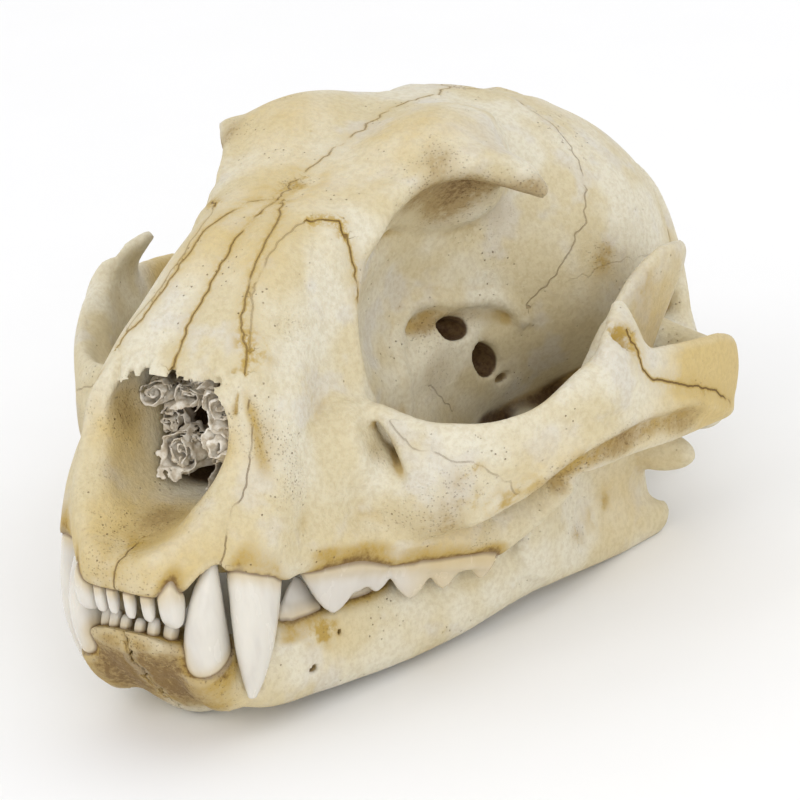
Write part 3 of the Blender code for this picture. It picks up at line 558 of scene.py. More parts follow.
# %% Ridges and dents of the skull
ORBIT_RIM = [
    (14.1, 40.9, 39.9), (15.8, 35.6, 31.0), (18.2, 32.2, 22.3), (22.0, 31.4, 16.7), (28.5, 32.7, 14.6),
    (34.3, 39.0, 15.2), (38.2, 46.4, 17.7), (39.8, 54.2, 23.7),
]
TEMPLE_LINE = [
    (24.0, 61.5, 44.0), (17.0, 64.0, 49.4), (13.0, 72.0, 50.4), (9.0, 84.0, 50.0), (6.0, 96.0, 48.0),
    (3.0, 108.0, 43.6), (1.0, 118.0, 37.6),
]
MASSETER_RIDGE = [
    (31.0, 36.0, 3.0), (36.7, 41.6, 4.8), (39.6, 43.8, 7.9), (42.2, 48.2, 10.9), (43.7, 52.4, 11.9),
    (44.8, 57.2, 12.9), (45.7, 63.0, 13.4), (46.6, 70.2, 12.9), (46.6, 77.9, 10.2), (44.8, 86.3, 7.7),
]
MASSETER_GROOVE = [
    (37.6, 43.8, 3.4), (40.4, 46.0, 6.6), (42.9, 50.6, 9.2), (44.2, 56.2, 10.4), (45.1, 62.6, 10.8),
    (46.0, 70.0, 10.4),
]
SOCKET_FOLD = [(8.4, 55.6, 21.6), (8.6, 54.2, 18.0), (9.0, 53.6, 14.0), (9.6, 54.6, 10.0)]
SOCKET_GROOVE = [(8.4, 58.0, 20.6), (10.0, 61.4, 21.4), (12.7, 66.7, 20.8), (15.2, 72.6, 19.6)]
CHEEK_DENT = [(20.0, 28.0, 16.4), (21.6, 27.8, 13.8), (22.9, 28.1, 11.6), (24.6, 28.0, 8.6)]
SOCKET_RIDGE = [
    (8.4, 55.9, 22.3), (9.4, 59.4, 24.3), (12.5, 65.7, 23.6), (15.0, 71.7, 22.8), (16.5, 75.3, 19.4),
]
REAR_CREST = [(0, 96, 48), (0, 108, 43.8), (0, 119, 36.6)]
# Path, width, height
RIDGES = [
    (ORBIT_RIM, 1.6, 0.5), (TEMPLE_LINE, 1.5, 0.35), (REAR_CREST, 1.6, 0.9), (MASSETER_RIDGE, 1.2, 0.9),
    (MASSETER_GROOVE, 1.5, -1.0), (SOCKET_RIDGE, 0.9, 2.1), (SOCKET_FOLD, 0.9, 0.9),
    (SOCKET_GROOVE, 1.3, -1.4), (CHEEK_DENT, 1.7, -0.8),
]
# Middle, radii, height
SWELLINGS = [
    ((0.0, 52.0, 49.0), (5.0, 16.0, 6.0), -1.3),
    ((0.0, 34.0, 42.0), (4.0, 9.0, 6.0), -0.6),
    ((0.0, 22.0, 36.0), (3.0, 9.0, 6.0), -0.8),
    ((19.6, 22.0, 13.0), (5.0, 7.0, 8.0), -1.0),
    ((14.0, 26.0, 27.0), (5.0, 6.0, 8.0), -0.7),
    ((22.0, 62.0, 40.0), (6.0, 8.0, 6.0), -0.6),
    ((22.0, 92.0, 26.0), (8.0, 14.0, 12.0), 0.5),
    ((8.0, 121.0, 24.0), (5.0, 4.0, 5.0), -1.2),
    ((0.0, 122.0, 26.0), (2.0, 5.0, 8.0), 1.0),
    ((44.0, 56.0, 19.0), (4.0, 5.0, 4.0), -0.5),
    ((43.8, 57.4, 23.6), (2.0, 1.4, 2.4), -0.7),
    ((9.0, 62.0, 52.0), (9.0, 12.0, 5.0), -0.4),
    ((0.0, 123.0, 33.0), (12.0, 5.0, 8.0), -0.4),
]
for path, width, height in RIDGES:
    ridge(HEAD, bone, path, width, height)
swell(HEAD, bone, SWELLINGS)
print("half relief done")

# %% [markdown]
# ## Both halves, and what differs between them
#
# Mirroring gives the right half. A real skull is never quite even, so the waves of grain run over both
# halves, and the tips of the nose bones are chipped, more on the left than on the right.

# %% The whole skull
WAVES = [(11.0, 0.16), (4.0, 0.10), (1.9, 0.045)]
# Ragged edge of the nose bones: depth, waves per mm of x and phase of each wave
RAGGED = [(0.7, 1.3, 0.6), (0.45, 2.9, 2.0), (0.25, 4.3, 0.0)]
RAGGED_FROM_Z = 19.0
# Pits and chips: place and radius
PITS = [(-4.8, 52.0, 49.0, 0.8), (16.0, 18.0, 14.8, 0.6), (15.1, 24.1, 13.9, 0.6), (10.4, 70.0, 30.0, 0.6)]
NOSE_CHIPS = [(7.2, 11.0, 22.9, 0.9), (5.6, 10.6, 22.6, 0.8), (3.4, 10.2, 22.2, 0.7), (1.3, 10.0, 21.9, 0.9),
              (-1.6, 10.1, 21.8, 0.6), (-4.2, 10.3, 22.2, 0.7), (-6.4, 10.8, 22.2, 0.6), (9.2, 12.2, 24.6, 0.8)]


def both_sides(space):
    """The space that holds a half space and its mirror image."""
    low, high = space.first * space.voxel, (space.first + space.counts - 1) * space.voxel
    return Space((-high[0], low[1], low[2]), high, space.voxel)


draw = np.random.default_rng(SEED)
SKULL = both_sides(HEAD)
skull = mirrored(bone)
for size, height in WAVES:
    skull -= height * grain(SKULL, size, draw)
ragged = sum(depth * np.sin(rate * SKULL.x + phase) for depth, rate, phase in RAGGED)
tips = SKULL.y - np.interp(SKULL.z, profile[:, 1], profile[:, 0]) - ragged
skull = carve(skull, np.maximum(PROFILE_SLOPE * tips, RAGGED_FROM_Z - SKULL.z), 0.2)
for *middle, radius in NOSE_CHIPS:
    skull = carve(skull, ball(SKULL, middle, (radius, 1.4 * radius, radius)), 0.3)
for *middle, radius in PITS:
    skull = carve(skull, ball(SKULL, middle, (radius, radius, radius)), 0.2)
skull = skull.astype(np.float32)
print("a whole skull on %d grid points" % skull.size)

# %% [markdown]
# ## Scrolls in the nose
#
# Behind the opening hang thin, crumpled scrolls of bone that once carried the lining of the nose. A scroll
# is a sheet along a spiral: seen from the front, a point lies on it when its distance from the middle and
# its turn round the middle add up to a whole number of steps. Random waves crumple the sheets and leave a
# ragged front.

# %% Thin sheets as a field
# Scrolls: x and z of the middle, radius, y of the front
SCROLLS = [(-3.2, 9.8, 3.3, 17.0), (5.8, 18.2, 2.7, 13.8), (5.8, 13.4, 2.6, 14.2), (-1.8, 18.0, 2.4, 16.4),
           (-7.0, 17.6, 2.2, 16.6), (1.6, 22.0, 2.2, 15.6), (5.0, 9.0, 3.0, 20.0), (-6.6, 13.4, 2.6, 20.0)]
# Half thickness of a sheet, distance between its turns, and how deep it sinks into the wall of the nose
SHEET, SHEET_STEP, SHEET_ROOT = 0.15, 1.15, 0.7
SEPTUM_FRONT, SCROLLS_BACK = 21.0, 23.5
# Crumpling: lattice size and height of each layer of waves
CRUMPLES = [(2.2, 1.0), (0.9, 0.7), (0.5, 0.3)]
NOSE = Space((-11, 13, 3), (11, 28, 28), 0.2)


def scroll(space, waves, x, z, radius, front):
    """Field of a spiral sheet that runs back from its ragged front."""
    across, up = space.x - x + waves[0], space.z - z + waves[1]
    out = np.sqrt(across ** 2 + up ** 2)
    turn = np.arctan2(up, across * np.sign(x)) / (2 * pi)
    sheet = np.abs((out / SHEET_STEP - turn) % 1 - 0.5) * SHEET_STEP - SHEET
    return np.maximum(np.maximum(sheet, out - radius), front + 2.0 * waves[2] - space.y)


waves = [sum(height * grain(NOSE, size, draw) for size, height in CRUMPLES) for _ in range(3)]
scrolls = np.maximum(np.abs(NOSE.x + 0.5 * waves[0]) - SHEET, SEPTUM_FRONT + 1.5 * waves[2] - NOSE.y)
for place in SCROLLS:
    scrolls = np.minimum(scrolls, scroll(NOSE, waves, *place))
inside = form(NOSE, loft(NOSE_HOLLOW, 3.0)) - SHEET_ROOT
scrolls = np.maximum(np.maximum(scrolls, inside), NOSE.y - SCROLLS_BACK).astype(np.float32)
print("scrolls on %d grid points" % scrolls.size)

# %% [markdown]
# ## The lower jaws
#
# Each half is a curved bar with an upright blade, which the chewing muscles pull on, and a roller for the
# joint. The halves meet at the chin in a wavy seam that never closed in this animal: both are cut along the
# same waves, a hair apart.

# %% The lower jaws
CHIN = [
    (0.4, -9.8, -12.4, 5.0, 6.6), (4.0, -10.4, -16.6, 6.0, 9.8), (8.0, -11.0, -20.5, 6.4, 11.0),
    (12.0, -12.2, -23.8, 6.2, 11.6), (16.0, -13.8, -25.8, 5.4, 12.0), (20.0, -15.8, -25.4, 6.8, 12.2),
    (24.0, -18.2, -23.8, 8.6, 12.4),
]
JAW_BODY = [
    (7.4, 7.6, -14.8, 2.4, 3.0), (8.9, 11.2, -16.4, 3.3, 4.3), (11.0, 16.0, -17.4, 3.8, 5.4),
    (14.2, 25.0, -16.7, 3.9, 5.7), (18.2, 35.6, -15.4, 3.8, 6.0), (21.6, 45.6, -13.8, 3.7, 5.9),
    (24.6, 55.0, -11.6, 3.3, 5.6), (27.2, 66.0, -11.2, 2.7, 4.4), (29.2, 77.0, -11.6, 2.2, 3.6),
    (30.8, 86.4, -11.8, 2.0, 2.8), (31.4, 90.4, -11.5, 1.7, 2.3), (31.7, 92.8, -10.8, 0.7, 0.9),
]
LOWER_SOCKET = [(8.2, 12.4, -18.8, 3.6, 4.4), (8.3, 8.6, -15.8, 3.3, 4.6), (8.7, 7.0, -13.6, 3.1, 4.4)]
# Upper edge of the jaw along its cheek teeth
JAW_EDGE = [
    (12.2, 16.4, -12.6, 1.9, 2.0), (13.9, 21.0, -12.3, 2.4, 2.2), (15.4, 27.0, -12.2, 2.4, 2.2),
    (18.0, 36.6, -11.6, 2.4, 2.1), (21.4, 48.6, -10.4, 2.0, 1.8),
]
JAW_BLADE = [
    (-14.2, 62.0, 87.4, 29.4, 1.0), (-12.2, 57.0, 90.6, 29.2, 1.7), (-8.4, 54.4, 91.4, 28.8, 2.2),
    (-5.0, 55.6, 90.4, 28.8, 2.3), (-1.0, 58.4, 89.6, 29.0, 2.3), (4.0, 61.4, 88.4, 29.6, 2.1),
    (9.0, 64.2, 87.0, 30.4, 1.9),
    (15.0, 67.4, 87.4, 31.3, 1.8), (21.0, 71.2, 90.2, 32.3, 1.7), (26.0, 75.2, 92.6, 33.2, 1.5),
    (28.8, 78.8, 92.8, 33.7, 1.2), (30.6, 84.0, 91.0, 34.0, 0.6),
]
JAW_CONDYLE = ((32.8, 87.4, -0.6), (6.4, 3.2, 3.0), (0, 0, -6))
MUSCLE_HOLLOW = ((37.4, 72.0, -2.6), (8.0, 14.0, 9.4), (0, 0, -6))
JAW_HOLES = [
    ((12.6, 12.0, -18.2), (1.6, 1.0, 0.8)), ((15.4, 20.7, -17.8), (1.5, 0.9, 0.7)),
    ((16.6, 25.2, -13.7), (1.3, 0.6, 0.5)),
]
INNER_HOLE = ((26.6, 70.0, -6.4), (1.2, 2.2, 1.2))
BLADE_LINE = [(25.4, 56.0, -6.0), (27.6, 60.0, 2.0), (29.6, 65.0, 11.0), (31.8, 71.0, 21.0)]
# Half the gap between the two halves at the chin
CHIN_GAP = 0.12
JAW = Space((-2, -3, -29), (41, 97, 32), 0.5)

jaw = form(JAW, sweep(JAW_BODY, 2.3, lean=0.1))
added = [
    (form(JAW, loft(CHIN, 2.3)), 1.5), (form(JAW, blade(JAW_BLADE)), 2.5), (ball(JAW, *JAW_CONDYLE), 2.0),
    (form(JAW, sweep(LOWER_SOCKET)), 2.0), (form(JAW, sweep(JAW_EDGE)), 2.0),
]
for part, soft in added:
    jaw = join(jaw, part, soft)
carved = [
    (ball(JAW, *MUSCLE_HOLLOW), 2.0), *((ball(JAW, *hole), 0.4) for hole in JAW_HOLES),
    (ball(JAW, *INNER_HOLE), 0.5),
]
for hollow, soft in carved:
    jaw = carve(jaw, hollow, soft)
ridge(JAW, jaw, BLADE_LINE, 1.4, 0.5)


def seam_waves(space):
    """Sideways shift of the chin seam: two sines of the depth along it."""
    deep = space.y * 0.6 - space.z
    return 0.5 * np.sin(1.1 * deep) + 0.25 * np.sin(2.9 * deep + 1.0)


jaws = {}
for side, way in (("left", 1), ("right", -1)):
    half = jaw.copy()
    for size, height in WAVES:
        half -= height * grain(JAW, size, draw)
    jaws[side] = np.maximum(half, CHIN_GAP - (JAW.x - way * seam_waves(JAW)))
print("two lower jaws on %d grid points each" % jaw.size)

# %% [markdown]
# ## Teeth
#
# A caracal has three small incisors, one canine, and two or three shearing cheek teeth in each half of a
# jaw. The canines are swept along a curve. A cheek tooth is a row of cones, melted together: each cone is a
# surface of two parameters, the share of its height and the turn round it. The teeth have their own finer
# grid. They are made with the roots sunk in the bone, so that no gap shows at the gum.

# %% Sizes of the teeth
UPPER_CANINE = [
    (13.2, 14.4, 6.0, 2.6, 3.6), (13.5, 11.2, -0.6, 3.0, 4.7), (13.9, 10.4, -5.2, 2.8, 4.3),
    (14.1, 10.1, -9.0, 2.5, 3.8), (14.1, 10.0, -12.5, 2.1, 3.1), (13.9, 10.1, -16.5, 1.3, 1.9),
    (13.6, 10.1, -19.4, 0.5, 0.6),
]
# Front teeth: x, y and z at the gum, radius across, length
UPPER_FRONT = [(1.35, -0.5, -3.5, 0.74, 4.1), (3.8, 0.1, -3.4, 0.84, 4.3), (6.8, 1.2, -2.8, 1.55, 5.4)]
LOWER_FRONT = [(1.15, 2.0, -10.8, 0.72, 2.6), (3.1, 2.4, -10.8, 0.8, 2.8), (5.1, 3.6, -11.0, 0.95, 2.9)]
# Cheek teeth: front and back end on the gum line, half thickness, (place along, height) of each cusp
UPPER_CHEEK = [
    ((16.2, 19.4, -2.6), (21.4, 32.4, -4.2), 2.2, [(0.06, 2.6), (0.34, 7.2), (0.62, 4.6), (0.84, 5.0)]),
    ((22.4, 33.2, -4.4), (28.6, 48.2, -7.2), 2.3, [(0.12, 6.0), (0.46, 4.4), (0.86, 3.4)]),
    ((24.2, 48.0, -5.2), (24.4, 50.0, -5.2), 1.3, [(0.5, 1.6)]),
]
LOWER_CHEEK = [
    ((12.6, 17.6, -11.0), (14.8, 25.2, -10.6), 1.7, [(0.1, 2.0), (0.45, 5.4), (0.9, 2.0)]),
    ((14.8, 26.4, -10.4), (17.8, 36.0, -9.8), 1.8, [(0.1, 2.4), (0.45, 5.6), (0.88, 2.8)]),
    ((18.2, 36.8, -9.6), (21.6, 48.8, -8.6), 1.8, [(0.24, 4.6), (0.76, 4.4)]),
]
FANGS = Space((0, -4, -21), (31.5, 53, 8), 0.3)
LOWER_FANGS = Space((0, -1, -22), (25, 52, 3), 0.3)

# %% One tooth at a time


def cusp(base, tip, thick, long, turn, blunt=0.6):
    """Rings of a cone: its radii shrink as (1 - v) to the power blunt, v being the share of its height."""
    v = np.linspace(0, 1, 14)[:, None]
    u = np.linspace(0, 2 * pi, 28, endpoint=False)
    size = np.maximum((1 - v) ** blunt, 0.07)
    along, across = long * size * np.cos(u), thick * size * np.sin(u)
    middle = np.array(base) + v * (np.array(tip) - np.array(base))
    x = middle[:, :1] + along * sin(turn) + across * cos(turn)
    y = middle[:, 1:2] + along * cos(turn) - across * sin(turn)
    return np.stack([x, y, middle[:, 2:] + 0 * x], -1)


def front_tooth(x, y, z, radius, length, way):
    """Rings of a peg that widens a little above the gum and ends in a narrow edge."""
    places = [(-0.7, 0.4, 0.6, 0.8), (0.0, 0.0, 0.84, 1.15), (0.4, 0.05, 1.0, 1.2), (0.75, 0.1, 0.98, 0.9),
              (0.93, 0.12, 0.8, 0.5), (1.0, 0.13, 0.45, 0.25)]
    rows = [(x, y + length * back, z + way * length * f, radius * wide, radius * deep)
            for f, back, wide, deep in places]
    return sweep(rows, 2.6)


def cheek_tooth(space, front, back, thick, cusps, way):
    """Field of a bar at the gum with its cusps, melted together."""
    front, back = np.array(front), np.array(back)
    length = np.linalg.norm(back - front)
    turn = np.arctan2(back[0] - front[0], back[1] - front[1])
    inset = thick / length * (back - front)
    bar = [(*(front + inset * 0.8), 0.86 * thick, 1.7), (*(front + back) / 2, thick, 1.9),
           (*(back - inset * 0.8), 0.86 * thick, 1.7)]
    tooth = form(space, sweep(bar, 2.4))
    for place, height in cusps:
        foot = front + place * (back - front)
        reach = min(0.85 * height + 0.6, max(place, 1 - place) * length)
        foot[:2] = np.clip(foot[:2], np.minimum(front, back)[:2] + 0.5, np.maximum(front, back)[:2] - 0.5)
        tip = foot + (-0.3, 0, way * height)
        tooth = join(tooth, form(space, cusp(foot - (0, 0, way * 2.0), tip, 0.95 * thick, reach, turn)), 1.0)
    return tooth


def row_of_teeth(space, canine, front, cheek, way):
    """Field of one half row, each tooth a little off its named size."""
    row = form(space, sweep(canine, 2.1, 40, 8))
    for x, y, z, radius, length in front:
        row = np.minimum(row, form(space, front_tooth(x, y, z, radius, length * draw.uniform(0.94, 1.06), way)))
    for start, end, thick, cusps in cheek:
        varied = [(place, height * draw.uniform(0.95, 1.05)) for place, height in cusps]
        row = np.minimum(row, cheek_tooth(space, start, end, thick, varied, way))
    return row


rows = {}
for side in ("left", "right"):
    rows["upper_" + side] = row_of_teeth(FANGS, UPPER_CANINE, UPPER_FRONT, UPPER_CHEEK, -1)
    rows["lower_" + side] = row_of_teeth(LOWER_FANGS, LOWER_CANINE, LOWER_FRONT, LOWER_CHEEK, 1)
print("four half rows of teeth")

# %% [markdown]
# ## Skins become pieces
#
# The skull is one skin, but people name its face, its braincase and its cheek arches, so it is cut into
# those four with boxes. They meet without a gap, and only a seam remains. The lower jaws and the teeth are
# pieces already.

# %% Meshes and cuts


def new_mesh(name, points, faces):
    mesh = bpy.data.meshes.new(name)
    mesh.from_pydata(points.tolist(), [], faces.tolist())
    made = bpy.data.objects.new(name, mesh)
    bpy.context.scene.collection.objects.link(made)
    return made


def box(name, middle, size, turn=0.0):
    """A box turned about its upright axis, in mm."""
    corners = np.array(list(np.ndindex(2, 2, 2))) - 0.5
    spin = np.array(Matrix.Rotation(radians(turn), 3, "Z"))
    sides = np.array([(0, 1, 3, 2), (4, 6, 7, 5), (0, 4, 5, 1), (2, 3, 7, 6), (0, 2, 6, 4), (1, 5, 7, 3)])
    return new_mesh(name, (corners * size) @ spin.T + middle, sides)


def points_of(piece):
    points = np.empty(3 * len(piece.data.vertices), np.float32)
    piece.data.vertices.foreach_get("co", points)
    return points.reshape(-1, 3).astype(float)


def cut(name, whole, operation, cutters):
    """A copy of the whole after one Boolean with each cutter."""
    piece = bpy.data.objects.new(name, whole.data.copy())
    bpy.context.scene.collection.objects.link(piece)
    for cutter in cutters:
        step = piece.modifiers.new("cut", "BOOLEAN")
        step.operation = operation
        step.solver = "MANIFOLD"
        step.object = cutter
    graph = bpy.context.evaluated_depsgraph_get()
    mesh = bpy.data.meshes.new_from_object(piece.evaluated_get(graph))
    piece.modifiers.clear()
    piece.data = mesh
    return piece


# The face ends at CUT_Y; each arch is cut off by an upright plane through ARCH_X, ARCH_Y, turned by ARCH_TURN
CUT_Y, ARCH_X, ARCH_Y, ARCH_TURN = 69.0, 31.2, 66.0, 4.2
REACH, LEVEL = 100.0, 10.0
SIDES = {"left": 1, "right": -1}

whole = new_mesh("whole_skull", *skin(SKULL, skull))
turned_by = radians(ARCH_TURN)
beyond = ARCH_X + REACH / 2 * cos(turned_by)
beside = ARCH_Y - REACH / 2 * sin(turned_by)
slab, cube = (REACH, 2 * REACH, 2 * REACH), (2 * REACH, 2 * REACH, 2 * REACH)
sides = {name: box(name + "_box", (way * beyond, beside, LEVEL), slab, -way * ARCH_TURN)
         for name, way in SIDES.items()}
ahead_box = box("ahead", (0, CUT_Y - REACH, LEVEL), cube)
behind_box = box("behind", (0, CUT_Y + REACH, LEVEL), cube)
pieces = {"zygomatic_arch_" + name: cut("arch_" + name, whole, "INTERSECT", [side])
          for name, side in sides.items()}
pieces["face"] = cut("face_bone", whole, "DIFFERENCE", [*sides.values(), behind_box])
pieces["braincase"] = cut("braincase_bone", whole, "DIFFERENCE", [*sides.values(), ahead_box])
for tool in (whole, ahead_box, behind_box, *sides.values()):
    bpy.data.objects.remove(tool)
for side, way in SIDES.items():
    points, quads = skin(JAW, jaws[side])
    pieces["mandible_" + side] = new_mesh("jaw_bone_" + side, points * (way, 1, 1), quads[:, ::way])
print({name: len(piece.data.polygons) for name, piece in pieces.items()})

# %% [markdown]
# ## Where colour gathers
#
# Ochre stain collects in creases, hollows darken, partly with stain and mostly with painted shade, and light
# bone shows on edges. All come from one measure: the share of bone in a small ball round a point. It is
# near a half on a flat stretch, less on an edge, more in a crease. A wide ball finds the deep places, a
# narrow one the creases. Sutures, the seams between the skull's bones, are drawn as curves on the surface,
# and each point of a mesh keeps how far it lies to the left or right of the nearest one.

# %% Shares of bone round a point


def blurred(field, steps, rounds=3):
    """The mean of the field over a box of 2 steps + 1 grid points on each axis, taken a few times."""
    for _ in range(rounds):
        for axis in range(3):
            wide = [(steps + 1, steps) if a == axis else (0, 0) for a in range(3)]
            total = np.cumsum(np.pad(field, wide, mode="edge"), axis=axis, dtype=np.float32)
            total = np.moveaxis(total, axis, 0)
            field = np.moveaxis((total[2 * steps + 1:] - total[:-2 * steps - 1]) / (2 * steps + 1), 0, axis)
    return field


class Bone:
    """A bone's field with the shares of bone round its points, widely and narrowly."""

    def __init__(self, space, field):
        self.space, self.field = space, field
        filled = np.clip(0.5 - field / space.voxel, 0, 1)
        self.wide = blurred(filled, round(3.6 / space.voxel))
        self.narrow = blurred(filled, round(0.7 / space.voxel))


BONES = {"skull": Bone(SKULL, skull), "left": Bone(JAW, jaws["left"]), "right": Bone(JAW, jaws["right"])}
print("shares measured for", ", ".join(BONES))

# %% Sutures, as curves on the surface
# Left side and middle: path, strength of the line, size of its zigzag, strength of the stain along it
MIDDLE_SEAMS = [
    ([(0, 10.6, 23.6), (0, 16.5, 30.1), (0, 23.4, 37.1), (0.3, 31.1, 41.5), (0.3, 36.0, 42.4)], 0.8, 0.12, 0.5),
    ([(0.3, 36.0, 42.4), (-0.6, 41.5, 44.3), (-0.3, 48.4, 47.1), (0.3, 53.4, 48.9), (0.9, 61.5, 50.6),
      (0.8, 70.0, 51.0), (0.4, 82.0, 50.6)], 0.6, 0.3, 0.35),
    ([(0.4, 82.0, 50.6), (0, 94.0, 48.4), (0, 106.0, 44.8)], 0.3, 0.35, 0.2),
    ([(0, -1.4, -3.5), (0.2, -1.0, 0.0), (0.2, 1.6, 3.0), (0, 4.0, 3.2)], 0.8, 0.15, 0.3),
    ([(0, -0.5, -5.0), (0, 12.0, -2.0), (0, 26.0, 0.0), (0, 40.0, -1.0), (0, 46.0, -3.0)], 0.6, 0.2, 0.3),
]
SIDE_SEAMS = [
    ([(1.2, 35.6, 42.2), (3.0, 32.8, 41.7), (4.9, 26.8, 39.2), (5.8, 22.4, 35.6), (6.5, 19.0, 32.2),
      (7.6, 16.5, 29.4), (9.3, 14.9, 26.8), (10.6, 13.4, 24.2)], 0.7, 0.15, 0.5),
    ([(9.9, 15.2, 26.9), (7.9, 18.5, 31.0), (6.9, 21.2, 34.2), (6.6, 24.8, 37.3), (6.7, 29.0, 39.7),
      (7.4, 32.3, 40.4)], 0.4, 0.15, 0.3),
    ([(7.4, 32.3, 40.4), (8.9, 33.7, 40.6), (10.4, 34.6, 39.9), (11.6, 35.2, 38.5)], 1.0, 0.4, 0.8),
    ([(11.6, 35.2, 38.5), (12.5, 35.6, 34.9), (13.8, 35.1, 31.3), (15.4, 34.8, 29.0)], 0.9, 0.3, 0.5),
    ([(12.2, 11.9, 20.9), (13.6, 9.9, 14.7), (13.8, 8.8, 10.1), (12.8, 6.3, 6.8), (12.4, 5.4, 2.8),
      (11.6, 5.6, -2.0)], 0.7, 0.15, 0.15),
    ([(9.7, 86.0, 48.3), (14.1, 86.0, 46.3), (17.9, 85.2, 43.4), (20.2, 84.8, 40.8), (22.1, 83.1, 37.0),
      (22.7, 81.9, 33.5), (22.2, 80.0, 30.4), (20.7, 77.8, 26.8), (18.5, 76.0, 23.0), (16.6, 75.0, 20.4)],
     0.55, 0.3, 0.12),
    ([(0.4, 82.0, 50.6), (5.2, 85.2, 49.6), (9.7, 86.0, 48.3)], 0.5, 0.4, 0.3),
    ([(22.4, 30.6, 15.5), (26.0, 29.3, 13.0), (30.9, 31.5, 11.2), (34.7, 35.7, 9.1), (36.6, 40.0, 5.4)],
     0.4, 0.2, 0.15),
    ([(43.1, 57.6, 24.8), (44.2, 58.6, 22.5), (44.4, 58.6, 20.4), (45.5, 61.5, 17.6), (46.9, 70.8, 15.0),
      (47.0, 78.0, 12.6), (46.4, 84.0, 9.6)], 1.0, 0.15, 0.45),
    ([(10.6, 59.5, 12.4), (10.4, 61.5, 10.7), (10.2, 66.0, 6.6)], 0.4, 0.2, 0.1),
    ([(22.8, 79.0, 25.0), (26.6, 88.0, 27.0), (27.6, 97.0, 26.0), (25.8, 105.0, 21.0), (24.6, 108.0, 16.0)],
     0.2, 0.3, 0.1),
    ([(1.0, 30.0, -1.0), (8.0, 29.0, -2.0), (14.0, 34.0, -4.0)], 0.5, 0.2, 0.3),
    ([(4.0, 119.0, 34.8), (10.0, 117.4, 32.4), (16.0, 114.0, 27.4), (21.6, 109.6, 20.0)], 0.4, 0.3, 0.3),
]
SEAM_STEP = 0.25


def directions(held, path):
    """Across the path, along the surface: the path's own direction turned a quarter round the slope."""
    ahead = np.gradient(path, axis=0)
    return unit(np.cross(ahead, slope(held.space, held.field, path)))


def seam(held, path, zigzag):
    """A path laid on the surface, then pushed sideways by random steps on two scales."""
    places = on_surface(held.space, held.field, stations(path, int(length_of(path) / SEAM_STEP) + 4))
    at = np.arange(len(places)) * SEAM_STEP
    shift = 0
    for size in (0.9, 2.4):
        knots = np.arange(-1, at[-1] / size + 3)
        shift = shift + np.interp(at / size, knots, draw.normal(size=len(knots)))
    places = on_surface(held.space, held.field, places + zigzag * shift[:, None] * directions(held, places))
    return places, directions(held, places)


seams = []
for path, strength, zigzag, stain in MIDDLE_SEAMS:
    seams.append((*seam(BONES["skull"], path, zigzag), strength, stain))
for path, strength, zigzag, stain in SIDE_SEAMS:
    for way in (1, -1):
        seams.append((*seam(BONES["skull"], np.array(path) * (way, 1, 1), zigzag), strength, stain))
print(len(seams), "sutures,", sum(len(s[0]) for s in seams), "samples")

# %% Marks that each point keeps
# Ochre patches: place, radius, strength
PATCHES = [
    ((0.3, 40.5, 43.9), 4.5, 0.8), ((10.6, 15.8, 26.6), 3.0, 1.0), ((24.6, 84.4, 28.2), 4.0, 0.7),
    ((42.8, 57.0, 24.0), 2.6, 1.0), ((46.6, 72.0, 14.6), 3.0, 0.6), ((42.5, 47.5, 8.6), 3.0, 0.8),
    ((40.0, 44.5, 5.6), 2.6, 0.7), ((12.0, 45.0, 42.0), 4.0, 0.4), ((20.0, 58.0, 47.6), 4.0, 0.3),
    ((-12.0, 30.0, 35.0), 5.0, 0.5), ((-24.6, 86.0, 28.0), 5.0, 0.6), ((8.0, 110.0, 42.0), 6.0, 0.5),
    ((0.0, 2.0, 3.0), 3.0, 0.8), ((27.0, 34.0, 2.0), 4.0, 0.4), ((0.0, 118.0, 12.0), 8.0, 0.4),
    ((42.2, 56.0, 25.0), 2.0, 1.4), ((32.8, 33.6, 9.6), 1.8, 1.1), ((33.1, 34.5, 5.2), 2.2, 0.7),
    ((34.8, 38.6, 3.9), 2.6, 1.0), ((37.6, 41.6, 6.6), 2.4, 0.7),
    *((place, 1.6, 0.4) for place in stations(MASSETER_GROOVE, 24)),
]
JAW_PATCHES = [
    ((30.9, 68.3, -9.3), 2.6, 0.9), ((30.7, 73.5, -7.5), 2.2, 0.8), ((30.6, 76.4, -5.7), 1.8, 0.7),
    ((15.8, 22.2, -12.8), 2.2, 2.2), ((16.2, 24.4, -13.4), 1.6, 1.4), ((33.0, 79.0, 26.0), 3.0, 0.9),
    ((2.0, 5.0, -17.0), 4.0, 0.7), ((8.0, 6.0, -13.0), 2.5, 0.7), ((6.0, 12.0, -24.0), 3.0, 0.5),
]
# Broad straw tints; brown dirt, which under the brow, the socket's ledge and the cheek's ridge is painted
# shadow; and painted shade in gaps. All in the same form and the same on both sides
TINTS = [
    ((0.0, 0.0, -1.0), 9.0, 0.8), ((9.0, 5.0, -1.0), 7.0, 0.7), ((46.4, 73.0, 17.0), 8.0, 1.6),
    ((8.8, 13.0, 15.0), 6.0, 1.2),
    ((46.0, 82.0, 13.0), 9.0, 1.6), ((20.0, 22.0, -3.0), 6.0, 0.7), ((26.0, 38.0, -3.0), 9.0, 0.8),
    ((0.0, 38.0, 44.0), 10.0, 0.8), ((12.0, 54.0, 50.0), 11.0, 0.7), ((0.0, 9.0, 5.0), 7.0, 0.9),
    ((0.0, 112.0, 8.0), 16.0, 0.6), ((0.0, 70.0, 4.0), 16.0, 0.5),
    ((38.0, 45.0, 8.0), 8.0, 0.7), ((4.0, 24.0, 37.0), 8.0, 0.7), ((34.0, 76.0, 24.0), 7.0, 0.8),
    ((13.0, 12.0, 4.0), 6.0, 0.5), ((8.0, 100.0, 46.0), 14.0, 0.4), ((44.0, 60.0, 9.0), 8.0, 0.6),
]
